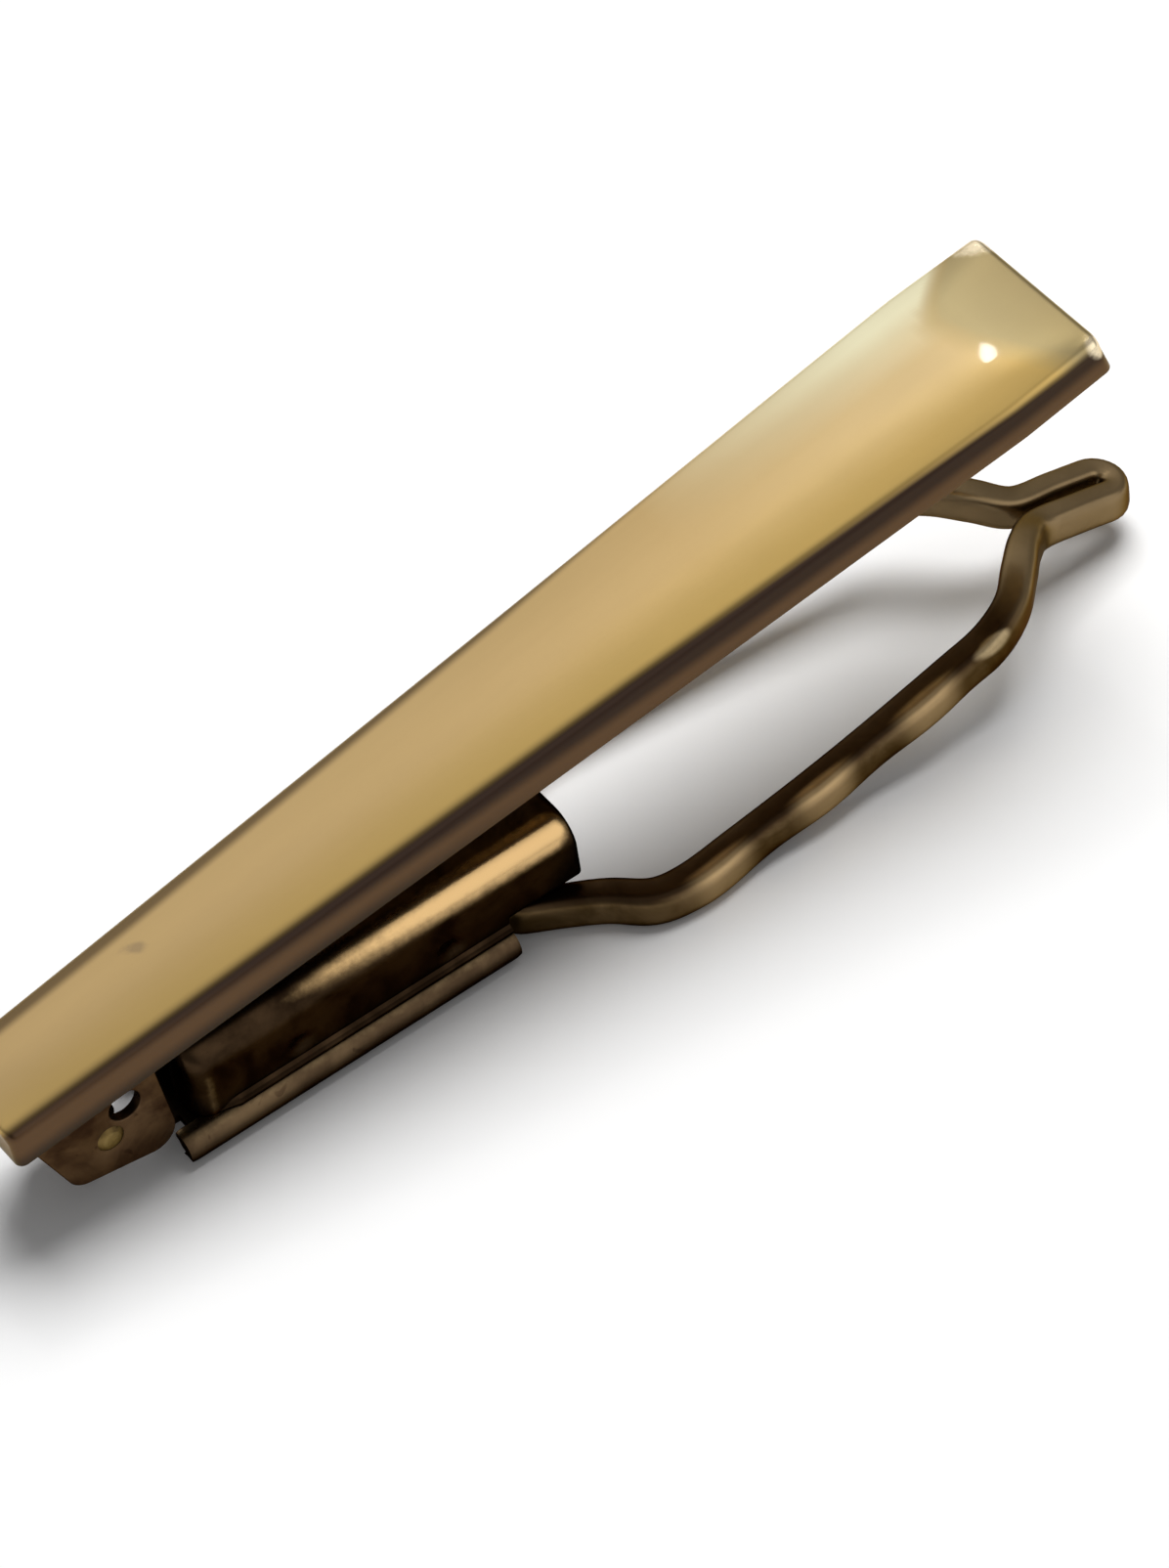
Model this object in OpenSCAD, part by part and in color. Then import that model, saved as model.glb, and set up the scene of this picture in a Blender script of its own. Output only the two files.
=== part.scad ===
// Tie clip: a tapered face bar with a clamp lever hinged under its narrow end.
// The lever is a bent wire jaw held in a small sheet box with a leaf spring.
// It is drawn as photographed, lying on the box, with the jaw a little open.
// X runs from the hinge towards the wide end, Z is up, and Y is the hinge axis.

/* [Face bar] */
// Length of the face bar
bar_length = 46.2; // [36:0.2:60]
// Width at the narrow end, over the hinge
bar_width_narrow = 4.4; // [4.2:0.1:5.5]
// Width at the wide end
bar_width_wide = 7.2; // [5.5:0.1:9]
// Height of the turned-down sides, edge to rim
bar_side_height = 1.55; // [1.2:0.05:2.2]
// Thickness of the pressed sheet
bar_sheet = 0.5; // [0.35:0.05:0.6]
// Rise of the crowned face above its long edges
crown_rise = 0.3; // [0.1:0.05:0.5]
// Length over which the crown runs out at the wide end
crown_end = 3; // [1.5:0.5:6]
// Length at the wide end where the sides stop flaring
straight_end = 4; // [2:0.5:8]
// Radius of the bend between face and sides
edge_radius = 0.3; // [0.15:0.05:0.4]
// Radius of the four corners seen from above
corner_radius = 0.35; // [0.2:0.05:0.8]
// How far the sides lean out from the face to the rim
side_draft = 0.12; // [0:0.02:0.2]

/* [Hinge] */
// Distance of the pin from the bar's narrow end
pin_from_end = 3.1; // [2.7:0.1:4]
// Depth of the pin's axis under the bar's rim
pin_drop = 2.05; // [1.9:0.05:2.6]
// Radius of the pin
pin_radius = 0.42; // [0.35:0.01:0.46]
// Radius of the pin's shoulders between the barrel and the ears
shoulder_radius = 0.6; // [0.5:0.02:0.66]
// Height of the pin's riveted ends outside the ears
pin_head_rise = 0.14; // [0.08:0.02:0.3]
// Overall width across the two ears
ear_span = 4.1; // [3.9:0.05:4.2]
// Thickness of the bracket's sheet
bracket_sheet = 0.45; // [0.35:0.05:0.5]
// Radius of the open hole beside the pin
sight_radius = 0.62; // [0.4:0.02:0.66]
// Angle between the bar and the box as drawn
open_angle = 9.1; // [2:0.1:14]
// Radius of the snap ridge pressed in the bracket's web
ridge_radius = 0.3; // [0.2:0.02:0.3]

/* [Spring box] */
// Distance from the pin to the left end of the rolled edges
tray_start = 2.4; // [2.2:0.1:2.9]
// Length of the rolled edges
tray_length = 13.8; // [12:0.2:16]
// Width across the rolled edges
tray_width = 5.55; // [5.2:0.05:6]
// Outer radius of the rolled edges
roll_radius = 0.64; // [0.55:0.01:0.66]
// Thickness of the tray's sheet
tray_sheet = 0.32; // [0.24:0.01:0.36]
// Height of the pin's axis above the resting face
pin_height = 3.1; // [3:0.05:3.4]
// Width of the tongue that runs to the hinge
tongue_width = 1.3; // [0.9:0.1:1.5]
// Width of the rolled barrel round the pin
barrel_width = 2.2; // [1.4:0.1:2.6]
// Distance from the pin to the left end of the hood
hood_start = 3.2; // [3.1:0.1:4]
// Length of the hood
hood_length = 16.2; // [15:0.1:18]
// Width of the hood
hood_width = 4.4; // [4:0.05:4.5]
// Height of the hood's top above the resting face
hood_top = 4.6; // [4.2:0.05:4.6]
// Thickness of the hood's sheet
hood_sheet = 0.4; // [0.25:0.05:0.45]
// Radius of the hood's long upper edges
hood_edge_radius = 1.1; // [0.6:0.1:1.4]

/* [Jaw wire] */
// Width of the flattened wire in the box
wire_width = 0.95; // [0.8:0.05:1]
// Width of the flattened wire along the rails
rail_width = 1.3; // [1:0.05:1.5]
// Width of the flattened wire round the nose
nose_width = 1.05; // [0.9:0.05:1.2]
// Height of the flattened wire
wire_height = 1.5; // [1.2:0.05:1.6]
// Clear width of the window at the heel of the loop
window_heel = 7.2; // [5.5:0.1:7.5]
// Clear width of the window at the shoulder of the loop
window_shoulder = 6.8; // [5:0.1:7.5]
// Clear gap between the wire's two legs in the box
leg_gap = 1.56; // [1.2:0.02:1.7]
// Clear width of the slot along the nose
slot_width = 0.34; // [0.3:0.02:0.5]
// Distance from the pin to the centre of the nose bend
nose_reach = 43.8; // [42:0.1:46]
// Height of the jaw's shoulder, its highest point
shoulder_top = 4.26; // [3.6:0.02:4.26]
// How far the hammered bulges stand out of the rails
bulge_depth = 0.14; // [0:0.02:0.25]

/* [Leaf spring and rivets] */
// Thickness of the leaf spring
leaf_thickness = 0.15; // [0.1:0.01:0.18]
// Width of the leaf spring's free end
leaf_width = 1.2; // [0.8:0.1:1.5]
// Radius of the rivets between the wire's legs
rivet_radius = 0.36; // [0.25:0.01:0.38]
// Distance between the two rivets
rivet_spacing = 3.4; // [2.4:0.1:4]
// Distance from the right end of the rolled edges to the nearer rivet
rivet_end = 1.6; // [1:0.1:2.4]

/* [Hidden] */

// The part's origin is the middle of the tray's resting face.
tray_end = tray_start + tray_length;
pivot_x = -(tray_start + tray_end) / 2;
// Play left between pieces that lie on each other, and round the pin.
seat_gap = 0.02;
running_gap = 0.04;
// Extra length of a cutting shape beyond the face that it cuts.
cut = 1;
// Thickness of the slices that a hull joins.
thin = 0.02;
round_fn = 96;
bend_fn = 48;

gold = [0.80, 0.68, 0.42];
bronze = [0.47, 0.38, 0.26];
steel = [0.62, 0.60, 0.56];

function mix(a, b, t) = a + (b - a) * t;
function clamp01(t) = max(0, min(1, t));
function ease(t) = let (u = clamp01(t)) u * u * (3 - 2 * u);

// Moves from the pin's axis, where the pieces are drawn, to the part's frame.
module at_pin() {
    translate([pivot_x, 0, pin_height]) children();
}

// The bar and its bracket lean by the opening angle about the pin.
module on_bar() {
    at_pin() rotate([0, -open_angle, 0]) children();
}

// The lever's own pieces keep Z from the resting face and X from the pin.
module on_lever() {
    translate([pivot_x, 0, 0]) children();
}

// Extrudes a side view drawn in X and Z across the width, centred on Y.
module across(width) {
    rotate([90, 0, 0]) linear_extrude(height = width, center = true) children();
}

// Face bar

bar_rings = 26;
crown_steps = 12;
bend_steps = 4;

flare_end = bar_length - straight_end;
end_draft = 0.1;
// The sides flare as far as flare_end, then draw in a little to the wide end.
function bar_half(x) =
    mix(bar_width_narrow, bar_width_wide, clamp01(x / flare_end)) / 2
    - end_draft * clamp01((x - flare_end) / straight_end);
// Draws the sides in over the corner radius at both ends.
function corner_inset(x) =
    let (d = min(x, bar_length - x), r = corner_radius)
    d >= r ? 0 : r - sqrt(r * r - (r - d) * (r - d));
function crown_at(x, t) =
    let (run_out = clamp01((bar_length - x) / crown_end), start = clamp01(x / crown_end))
    crown_rise * (1 - t * t) * (1 - pow(1 - run_out, 2)) * (1 - 0.6 * pow(1 - start, 2));
// Rings crowd together at the ends, where the corners are round.
function bar_station(i) =
    let (n = bend_steps, r = corner_radius, inner = bar_rings - 2 * n)
    i <= n ? r * (1 - cos(90 * i / n)) :
    i >= n + inner ? bar_length - r * (1 - cos(90 * (bar_rings - i) / n)) :
    mix(r, bar_length - r, (i - n) / inner);
// One ring of the outside: rim, bend, crowned face, bend and rim. The rim stands out
// by the draft on all four sides.
function bar_ring(x) =
    let (half = bar_half(x) - corner_inset(x), r = edge_radius, top = bar_side_height,
         rim_x = x + side_draft * (2 * x / bar_length - 1))
    concat(
        [[rim_x, half + side_draft, 0]],
        [for (k = [0:bend_steps])
            [x, half - r * (1 - cos(90 * k / bend_steps)),
             top - r + r * sin(90 * k / bend_steps)]],
        [for (k = [1:crown_steps - 1])
            let (t = 1 - 2 * k / crown_steps)
            [x, (half - r) * t, top + crown_at(x, t)]],
        [for (k = [bend_steps:-1:0])
            [x, -half + r * (1 - cos(90 * k / bend_steps)),
             top - r + r * sin(90 * k / bend_steps)]],
        [[rim_x, -half - side_draft, 0]]);

// Skins a row of equal rings and closes both ends.
module skin(rings) {
    n = len(rings[0]);
    m = len(rings);
    last = (m - 1) * n;
    polyhedron(
        points = [for (ring = rings) each ring],
        faces = concat(
            [[for (k = [n - 2:-1:1]) k], [0, n - 1, n - 2, 1]],
            [for (i = [0:m - 2], k = [0:n - 1])
                let (a = i * n + k, b = i * n + (k + 1) % n)
                [a, b, b + n]],
            [for (i = [0:m - 2], k = [0:n - 1])
                let (a = i * n + k, b = i * n + (k + 1) % n)
                [a, b + n, a + n]],
            [[for (k = [1:n - 2]) last + k], [last, last + 1, last + n - 2, last + n - 1]]));
}

module face_bar() {
    wall = bar_sheet;
    inner_narrow = bar_half(wall) - wall;
    inner_wide = bar_half(flare_end) - wall;
    inner_end = bar_half(bar_length) - wall;
    color(gold) on_bar() translate([-pin_from_end, 0, pin_drop]) difference() {
        skin([for (i = [0:bar_rings]) bar_ring(bar_station(i))]);
        // The inside leans out with the sides, so the sheet keeps its thickness.
        hull() for (level = [[0, side_draft], [bar_side_height - wall, 0]])
            translate([0, 0, level[0] - thin]) linear_extrude(height = thin)
                offset(delta = level[1])
                    polygon([[wall, -inner_narrow], [flare_end, -inner_wide],
                             [bar_length - wall, -inner_end], [bar_length - wall, inner_end],
                             [flare_end, inner_wide], [wall, inner_narrow]]);
    }
}

// Hinge bracket: a web soldered under the rims, with two ears for the pin

ear_left = -2.45;
ear_right = 2.4;
ear_corner_radius = 0.9;
sight_forward = 0.95;
sight_rise = 0.95;
web_bottom = pin_drop - bracket_sheet;
// The ear's lower edge slopes, deeper towards the jaw.
ear_toe = [-1.05, -0.45];
ear_heel = [1.35, -1.3];

module ear_side_view() {
    difference() {
        hull() {
            polygon([[ear_left, pin_drop], [ear_right, pin_drop],
                     [ear_right, pin_drop - bracket_sheet], [ear_left, pin_drop - bracket_sheet]]);
            translate(ear_toe) circle(r = ear_corner_radius, $fn = round_fn);
            translate(ear_heel) circle(r = ear_corner_radius, $fn = round_fn);
        }
        translate([sight_forward, sight_rise]) circle(r = sight_radius, $fn = round_fn);
        circle(r = pin_radius, $fn = round_fn);
    }
}

module hinge_bracket() {
    inner = ear_span - 2 * bracket_sheet;
    color(bronze) on_bar() {
        for (side = [-1, 1])
            translate([0, side * (ear_span - bracket_sheet) / 2, 0])
                across(bracket_sheet) ear_side_view();
        translate([ear_left, -inner / 2, web_bottom])
            cube([ear_right - ear_left, inner, bracket_sheet - seat_gap]);
        // The leaf spring's tip snaps over this ridge.
        intersection() {
            translate([0, 0, web_bottom + ridge_radius * 0.35])
                rotate([90, 0, 0])
                    cylinder(r = ridge_radius, h = inner, center = true, $fn = bend_fn);
            translate([-cut, -inner / 2, pin_radius]) cube([2 * cut, inner, web_bottom]);
        }
    }
}

// The pin's shoulders hold the ears apart, and its ends are riveted over them.
module pivot_pin() {
    shoulder_start = barrel_width / 2 + running_gap;
    shoulder_end = ear_span / 2 - bracket_sheet - seat_gap;
    color(gold) on_bar() rotate([90, 0, 0]) {
        cylinder(r = pin_radius, h = ear_span, center = true, $fn = round_fn);
        for (side = [0, 1]) mirror([0, 0, side]) {
            translate([0, 0, shoulder_start])
                cylinder(r = shoulder_radius, h = shoulder_end - shoulder_start, $fn = round_fn);
            translate([0, 0, ear_span / 2])
                cylinder(r1 = pin_radius * 1.25, r2 = pin_radius * 0.7, h = pin_head_rise,
                         $fn = round_fn);
        }
    }
}

// Base tray: floor with rolled edges and a tongue curled round the pin

leg_y = (leg_gap + wire_width) / 2;
roll_y = tray_width / 2 - roll_radius;
barrel_bore = pin_radius + running_gap;
barrel_radius = barrel_bore + tray_sheet;
tongue_bend = 1.2;
floor_start = hood_start;

lip_inner = leg_y + wire_width / 2 + 0.1;

// The sheet turns half a circle outwards and back over itself.
module rolled_edge() {
    translate([roll_y, roll_radius]) difference() {
        circle(r = roll_radius, $fn = bend_fn);
        circle(r = roll_radius - tray_sheet, $fn = bend_fn);
        translate([-2 * roll_radius, -roll_radius - cut])
            square([2 * roll_radius, 2 * roll_radius + 2 * cut]);
    }
    translate([lip_inner, 2 * roll_radius - tray_sheet])
        square([roll_y - lip_inner, tray_sheet]);
}

module tray_section() {
    translate([-roll_y, 0]) square([2 * roll_y, tray_sheet]);
    rolled_edge();
    mirror([1, 0]) rolled_edge();
}

// Extrudes a section drawn in Y and Z along X.
module along(from, to) {
    translate([from, 0, 0]) rotate([90, 0, 90]) linear_extrude(height = to - from) children();
}

module tray_side_view() {
    r = roll_radius * 0.7;
    hull() {
        for (x = [tray_start + r, tray_end - r])
            translate([x, r]) circle(r = r, $fn = bend_fn);
        translate([tray_start, 2 * roll_radius - r]) square([tray_length, r]);
    }
}

module rivet_places() {
    middle = tray_end - rivet_spacing / 2 - rivet_end;
    for (side = [-1, 1]) translate([middle + side * rivet_spacing / 2, 0, 0]) children();
}

module base_tray() {
    color(bronze) on_lever() {
        difference() {
            intersection() {
                along(tray_start, tray_end) tray_section();
                across(tray_width + cut) tray_side_view();
            }
            // The floor stops short of the ears, so only the rolled edges run on.
            translate([tray_start - cut, -roll_y, -cut])
                cube([floor_start - tray_start + cut, 2 * roll_y, 2 * roll_radius + 2 * cut]);
            rivet_places() rivet_solid();
        }
        across(tongue_width) {
            // Flat run, bend and upright of the tongue.
            translate([-barrel_radius + tongue_bend, 0])
                square([floor_start + barrel_radius - tongue_bend, tray_sheet]);
            translate([-barrel_radius + tongue_bend, tongue_bend]) difference() {
                circle(r = tongue_bend, $fn = round_fn);
                circle(r = tongue_bend - tray_sheet, $fn = round_fn);
                translate([0, -2 * tongue_bend]) square(4 * tongue_bend);
                translate([-2 * tongue_bend, 0]) square(4 * tongue_bend);
            }
            translate([-barrel_radius, tongue_bend])
                square([tray_sheet, pin_height - tongue_bend]);
        }
        translate([0, 0, pin_height]) rotate([90, 0, 0]) difference() {
            cylinder(r = barrel_radius, h = barrel_width, center = true, $fn = round_fn);
            cylinder(r = barrel_bore, h = barrel_width + cut, center = true, $fn = round_fn);
        }
    }
}

// Spring hood: a pressed cover with rounded long edges, seated on the rolls

hood_end = hood_start + hood_length;
hood_foot = 2 * roll_radius + seat_gap;
leg_bottom = tray_sheet + seat_gap;
leg_top = leg_bottom + wire_height;
flange_reach = 0.24;
flange_height = 0.3;
hood_end_radius = 0.55;
hood_corner_radius = 0.8;
stake_first = 4.3;
stake_pitch = 6.3;
stake_height = 2.1;
stake_radius = 0.62;
stake_depth = 0.12;

// A box with rounded long edges, a rounded right end and rounded left corners.
module hood_block(inset, foot) {
    half = hood_width / 2 - inset;
    top = hood_top - inset;
    r = hood_edge_radius - inset;
    left = hood_start + inset;
    right = hood_end - inset;
    end_r = max(hood_end_radius - inset, 0.1);
    corner_r = hood_corner_radius - inset;
    intersection() {
        along(left, right) {
            translate([-half, foot]) square([2 * half, top - r - foot]);
            translate([-half + r, foot]) square([2 * (half - r), top - foot]);
            for (side = [-1, 1])
                translate([side * (half - r), top - r]) circle(r = r, $fn = bend_fn);
        }
        across(hood_width + cut) {
            translate([left, foot]) square([right - left, top - end_r - foot]);
            translate([left, foot]) square([right - end_r - left, top - foot]);
            translate([right - end_r, top - end_r]) circle(r = end_r, $fn = bend_fn);
        }
        translate([0, 0, foot - cut]) linear_extrude(height = top + 2 * cut) {
            translate([left, -half + corner_r]) square([right - left, 2 * (half - corner_r)]);
            translate([left + corner_r, -half]) square([right - left - corner_r, 2 * half]);
            for (side = [-1, 1])
                translate([left + corner_r, side * (half - corner_r)])
                    circle(r = corner_r, $fn = bend_fn);
        }
    }
}

module spring_hood() {
    color(bronze) on_lever() difference() {
        union() {
            hood_block(0, hood_foot);
            // Small turned-out foot along the rolled edge.
            translate([hood_start + hood_edge_radius, -hood_width / 2 - flange_reach, hood_foot])
                cube([tray_end - hood_start - hood_edge_radius, hood_width + 2 * flange_reach,
                      flange_height]);
        }
        hood_block(hood_sheet, hood_foot - cut);
        // Room for the wire's legs where they leave under the right end.
        translate([tray_end, -hood_width / 2 - cut, 0])
            cube([hood_length, hood_width + 2 * cut, leg_top + seat_gap]);
        // Slot in the left end for the leaf spring.
        translate([hood_start - cut, -tongue_width / 2 - seat_gap * 5, 0])
            cube([2 * cut, tongue_width + seat_gap * 10, hood_top - 0.35]);
        // Two staking marks on each side.
        for (side = [-1, 1], mark = [0, 1])
            translate([hood_start + stake_first + mark * stake_pitch,
                       side * (hood_width / 2 + stake_radius - stake_depth), stake_height])
                sphere(r = stake_radius, $fn = bend_fn);
    }
}

// Jaw wire: one flattened wire bent into a long loop with a pinched nose

wire_ring_points = 12;
wire_steps = 4;
nose_steps = 10;
bulge_pitch = 4.7;
bulge_first = 23.3;
nose_drop = 1.68;
heel_y = (window_heel + rail_width) / 2;
rail_y = (window_shoulder + rail_width) / 2;
nose_y = (slot_width + nose_width) / 2;
leg_z = leg_bottom + wire_height / 2;
rest_z = wire_height / 2;
peak_z = shoulder_top - wire_height / 2;

// One side of the loop: X from the pin, Y from the middle, the wire's centre height
// and its width there.
wire_route = [
    [9.4, leg_y, leg_z, wire_width],
    [12.4, leg_y, leg_z, wire_width],
    [16, leg_y, leg_z, wire_width],
    [17.2, mix(leg_y, heel_y, 0.14), mix(leg_z, rest_z, 0.5), mix(wire_width, rail_width, 0.6)],
    [18.4, mix(leg_y, heel_y, 0.33), mix(leg_z, rest_z, 0.8), mix(wire_width, rail_width, 0.8)],
    [19.7, mix(leg_y, heel_y, 0.6), rest_z + 0.03, rail_width],
    [20.9, heel_y - 0.16, rest_z, rail_width + 0.08],
    [22.3, heel_y + 0.1, rest_z, rail_width + 0.06],
    [24.4, heel_y, mix(rest_z, peak_z, 0.05), rail_width],
    [27.6, mix(heel_y, rail_y, 0.4), mix(rest_z, peak_z, 0.18), rail_width],
    [30.6, mix(heel_y, rail_y, 0.7), mix(rest_z, peak_z, 0.36), rail_width],
    [34, rail_y, mix(rest_z, peak_z, 0.62), rail_width],
    [35.8, rail_y, mix(rest_z, peak_z, 0.79), rail_width + 0.04],
    [37.2, mix(nose_y, rail_y, 0.87), mix(rest_z, peak_z, 0.95), rail_width - 0.02],
    [38.35, mix(nose_y, rail_y, 0.57), peak_z, rail_width],
    [39.45, mix(nose_y, rail_y, 0.25), peak_z - 0.3, rail_width - 0.08],
    [40.6, nose_y + 0.05, peak_z - 0.85, mix(nose_width, rail_width, 0.3)],
    [42.3, nose_y, peak_z - 1.27, nose_width],
    [nose_reach, nose_y, peak_z - nose_drop, nose_width]];
nose_slope = 0.25;

function spline(p0, p1, p2, p3, t) =
    0.5 * (2 * p1 + (p2 - p0) * t + (2 * p0 - 5 * p1 + 4 * p2 - p3) * t * t
           + (3 * p1 - p0 - 3 * p2 + p3) * t * t * t);
function route_point(p, i, t) =
    let (last = len(p) - 1)
    spline(p[max(i - 1, 0)], p[i], p[min(i + 1, last)], p[min(i + 2, last)], t);
function smooth_route(p) = concat(
    [for (i = [0:len(p) - 2], k = [0:wire_steps - 1]) route_point(p, i, k / wire_steps)],
    [p[len(p) - 1]]);
function nose_bend() = [for (k = [1:nose_steps - 1])
    let (a = 90 - 180 * k / nose_steps)
    [nose_reach + nose_y * cos(a), nose_y * sin(a),
     peak_z - nose_drop - nose_slope * nose_y * cos(a), nose_width]];
function flip(p) = [for (i = [len(p) - 1:-1:0]) [p[i][0], -p[i][1], p[i][2], p[i][3]]];
function place(p) = [p[0], p[1], p[2]];
function unit(v) = v / norm(v);
// Soft bulges on the outer side of the rails, one pitch apart.
function bulge_at(p) =
    let (n = (p[0] - bulge_first) / bulge_pitch, near = n - round(n))
    n > -0.5 && n < 2.6 && abs(p[1]) > rail_y * 0.8 ? bulge_depth * pow(cos(near * 180), 2) : 0;
function wire_ring(path, i) =
    let (last = len(path) - 1,
         p = place(path[i]),
         along_dir = unit(place(path[min(i + 1, last)]) - place(path[max(i - 1, 0)])),
         out_dir = unit(cross([0, 0, 1], along_dir)),
         up_dir = cross(along_dir, out_dir))
    [for (k = [0:wire_ring_points - 1])
        let (a = 360 * (k + 0.5) / wire_ring_points,
             c = cos(a), s = sin(a),
             w = path[i][3] / 2 + (c > 0 ? bulge_at(p) : 0),
             softness = 0.52)
        p + out_dir * w * sign(c) * pow(abs(c), softness)
          + up_dir * wire_height / 2 * sign(s) * pow(abs(s), softness)];

module jaw_wire() {
    half_route = smooth_route(wire_route);
    path = concat(half_route, nose_bend(), flip(half_route));
    color(bronze) on_lever() skin([for (i = [0:len(path) - 1]) wire_ring(path, i)]);
}

// Leaf spring, held on the wire's legs and bearing on the bracket's ridge

leaf_foot = leg_top + seat_gap;
leaf_tip_height = pin_height + barrel_radius + 0.07;
leaf_tip_x = -0.45;
leaf_rise_start = 2.3;
leaf_rise_end = 8.6;
leaf_end = tray_end - 0.5;
leaf_steps = 14;
leaf_seat_width = leg_gap + 2 * wire_width - 0.1;

function leaf_height(x) =
    mix(leaf_tip_height, leaf_foot, ease((x - leaf_rise_start) / (leaf_rise_end - leaf_rise_start)));
function leaf_line(lift) = concat(
    [[leaf_tip_x, leaf_tip_height + lift]],
    [for (k = [0:leaf_steps])
        let (x = mix(leaf_rise_start, leaf_rise_end, k / leaf_steps))
        [x, leaf_height(x) + lift]],
    [[leaf_end, leaf_foot + lift]]);
function backwards(p) = [for (i = [len(p) - 1:-1:0]) p[i]];

module leaf_spring() {
    color(steel) on_lever() difference() {
        union() {
            across(leaf_width) polygon(concat(leaf_line(0), backwards(leaf_line(leaf_thickness))));
            translate([leaf_rise_end, -leaf_seat_width / 2, leaf_foot])
                cube([leaf_end - leaf_rise_end, leaf_seat_width, leaf_thickness]);
        }
        rivet_places() cylinder(r = rivet_radius + seat_gap, h = 2 * hood_top, $fn = round_fn);
    }
}

rivet_head_radius = rivet_radius * 2.1;
rivet_head_rise = 0.4;

module rivet_solid() {
    cylinder(r1 = rivet_radius + tray_sheet * 0.8, r2 = rivet_radius, h = tray_sheet * 0.8,
             $fn = round_fn);
    cylinder(r = rivet_radius, h = leaf_foot + leaf_thickness + seat_gap * 2, $fn = round_fn);
}

module rivets() {
    color(gold) on_lever() rivet_places() {
        rivet_solid();
        translate([0, 0, leaf_foot + leaf_thickness + seat_gap])
            cylinder(r1 = rivet_head_radius, r2 = rivet_head_radius * 0.55, h = rivet_head_rise,
                     $fn = round_fn);
    }
}

face_bar();
hinge_bracket();
pivot_pin();
base_tray();
spring_hood();
jaw_wire();
leaf_spring();
rivets();
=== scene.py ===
from math import cos, pi, radians, sin, sqrt

import bmesh
import bpy
import numpy as np
from mathutils import Matrix, Vector


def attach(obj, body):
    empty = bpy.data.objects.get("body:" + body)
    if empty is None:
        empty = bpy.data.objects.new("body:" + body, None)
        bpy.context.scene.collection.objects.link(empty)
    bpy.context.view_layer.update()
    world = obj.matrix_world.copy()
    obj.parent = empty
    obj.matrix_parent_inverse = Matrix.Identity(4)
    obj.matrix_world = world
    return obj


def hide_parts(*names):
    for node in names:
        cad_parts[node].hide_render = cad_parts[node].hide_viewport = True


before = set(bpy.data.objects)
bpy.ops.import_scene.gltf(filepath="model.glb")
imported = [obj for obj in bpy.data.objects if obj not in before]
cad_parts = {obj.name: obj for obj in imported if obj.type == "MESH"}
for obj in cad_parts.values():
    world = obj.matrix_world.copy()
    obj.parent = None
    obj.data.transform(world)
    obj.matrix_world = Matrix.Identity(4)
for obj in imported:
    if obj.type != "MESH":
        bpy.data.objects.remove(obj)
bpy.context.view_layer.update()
scene = bpy.context.scene
scene.view_settings.view_transform = "Standard"
MM = 0.001


def add_object(name, data):
    obj = bpy.data.objects.new(name, data)
    scene.collection.objects.link(obj)
    return obj


# Camera
# A long lens that looks down on the near side of the clip, with the hinge at the
# lower left and the wide end of the bar at the upper right.
camera_data = bpy.data.cameras.new("camera")
camera_data.lens = 155.69
camera_data.sensor_width = 36
camera_data.sensor_fit = "AUTO"
camera_data.shift_x = 0.03626
camera_data.shift_y = -0.04528
camera_data.clip_start = 0.01
camera = add_object("camera", camera_data)
image_right = Vector((0.80582151, -0.58128823, -0.11294112))
image_up = Vector((0.49848443, 0.56294523, 0.65924649))
towards_camera = Vector((-0.31963256, -0.58753439, 0.74339651))
turn = Matrix((image_right, image_up, towards_camera)).transposed().to_4x4()
camera.matrix_world = Matrix.Translation((-0.06339144, -0.13521991, 0.17926856)) @ turn
scene.camera = camera


# Face bar
# A sheet pressing with turned-down sides and a low crown that runs out in a hip at
# the wide end. Gold plated brass, satin brushed along its length, with the plating
# rubbed bright at the corners of the wide end.
BAR_LENGTH, HALF_NARROW, HALF_WIDE = 46.2, 2.2, 3.6
FLARE_END, END_DRAFT, SIDE_DRAFT = 42.2, 0.1, 0.12
SIDE_HEIGHT, SHEET, CROWN, CROWN_END = 1.55, 0.5, 0.3, 3.0
BEND_NARROW, BEND_WIDE, INNER_BEND, CORNER_R, END_R = 0.5, 0.4, 0.14, 0.35, 0.24
HIP_REACH, HIP_SOFT = 3.3, 0.13
SIDE_STEPS, BEND_STEPS, CROWN_STEPS = 4, 8, 44
# Where the hinge pin is in the bar and in the frame, and how far the bar leans.
PIN_FROM_END, PIN_DROP = 3.1, 2.05
PIVOT_X, PIN_HEIGHT, LEAN = -9.3, 3.1, radians(9.1)


def bar_to_row(p):
    """Takes a point of the bar, in mm from its narrow end and rim, to the shared frame."""
    u, v = p[0] - PIN_FROM_END, p[2] + PIN_DROP
    return ((PIVOT_X + u * cos(LEAN) - v * sin(LEAN)) * MM, p[1] * MM,
            (PIN_HEIGHT + u * sin(LEAN) + v * cos(LEAN)) * MM)


def row_to_bar(p):
    """Takes a point of the shared frame back to mm from the bar's narrow end and rim."""
    x, z = p[0] / MM - PIVOT_X, p[2] / MM - PIN_HEIGHT
    return (x * cos(LEAN) + z * sin(LEAN) + PIN_FROM_END, p[1] / MM,
            -x * sin(LEAN) + z * cos(LEAN) - PIN_DROP)


def round_off(distance, radius):
    """How far a rounded corner draws in at this distance from the end."""
    d = min(max(distance, 0.0), radius)
    return radius - sqrt(max(radius * radius - (radius - d) ** 2, 0.0))


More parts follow.
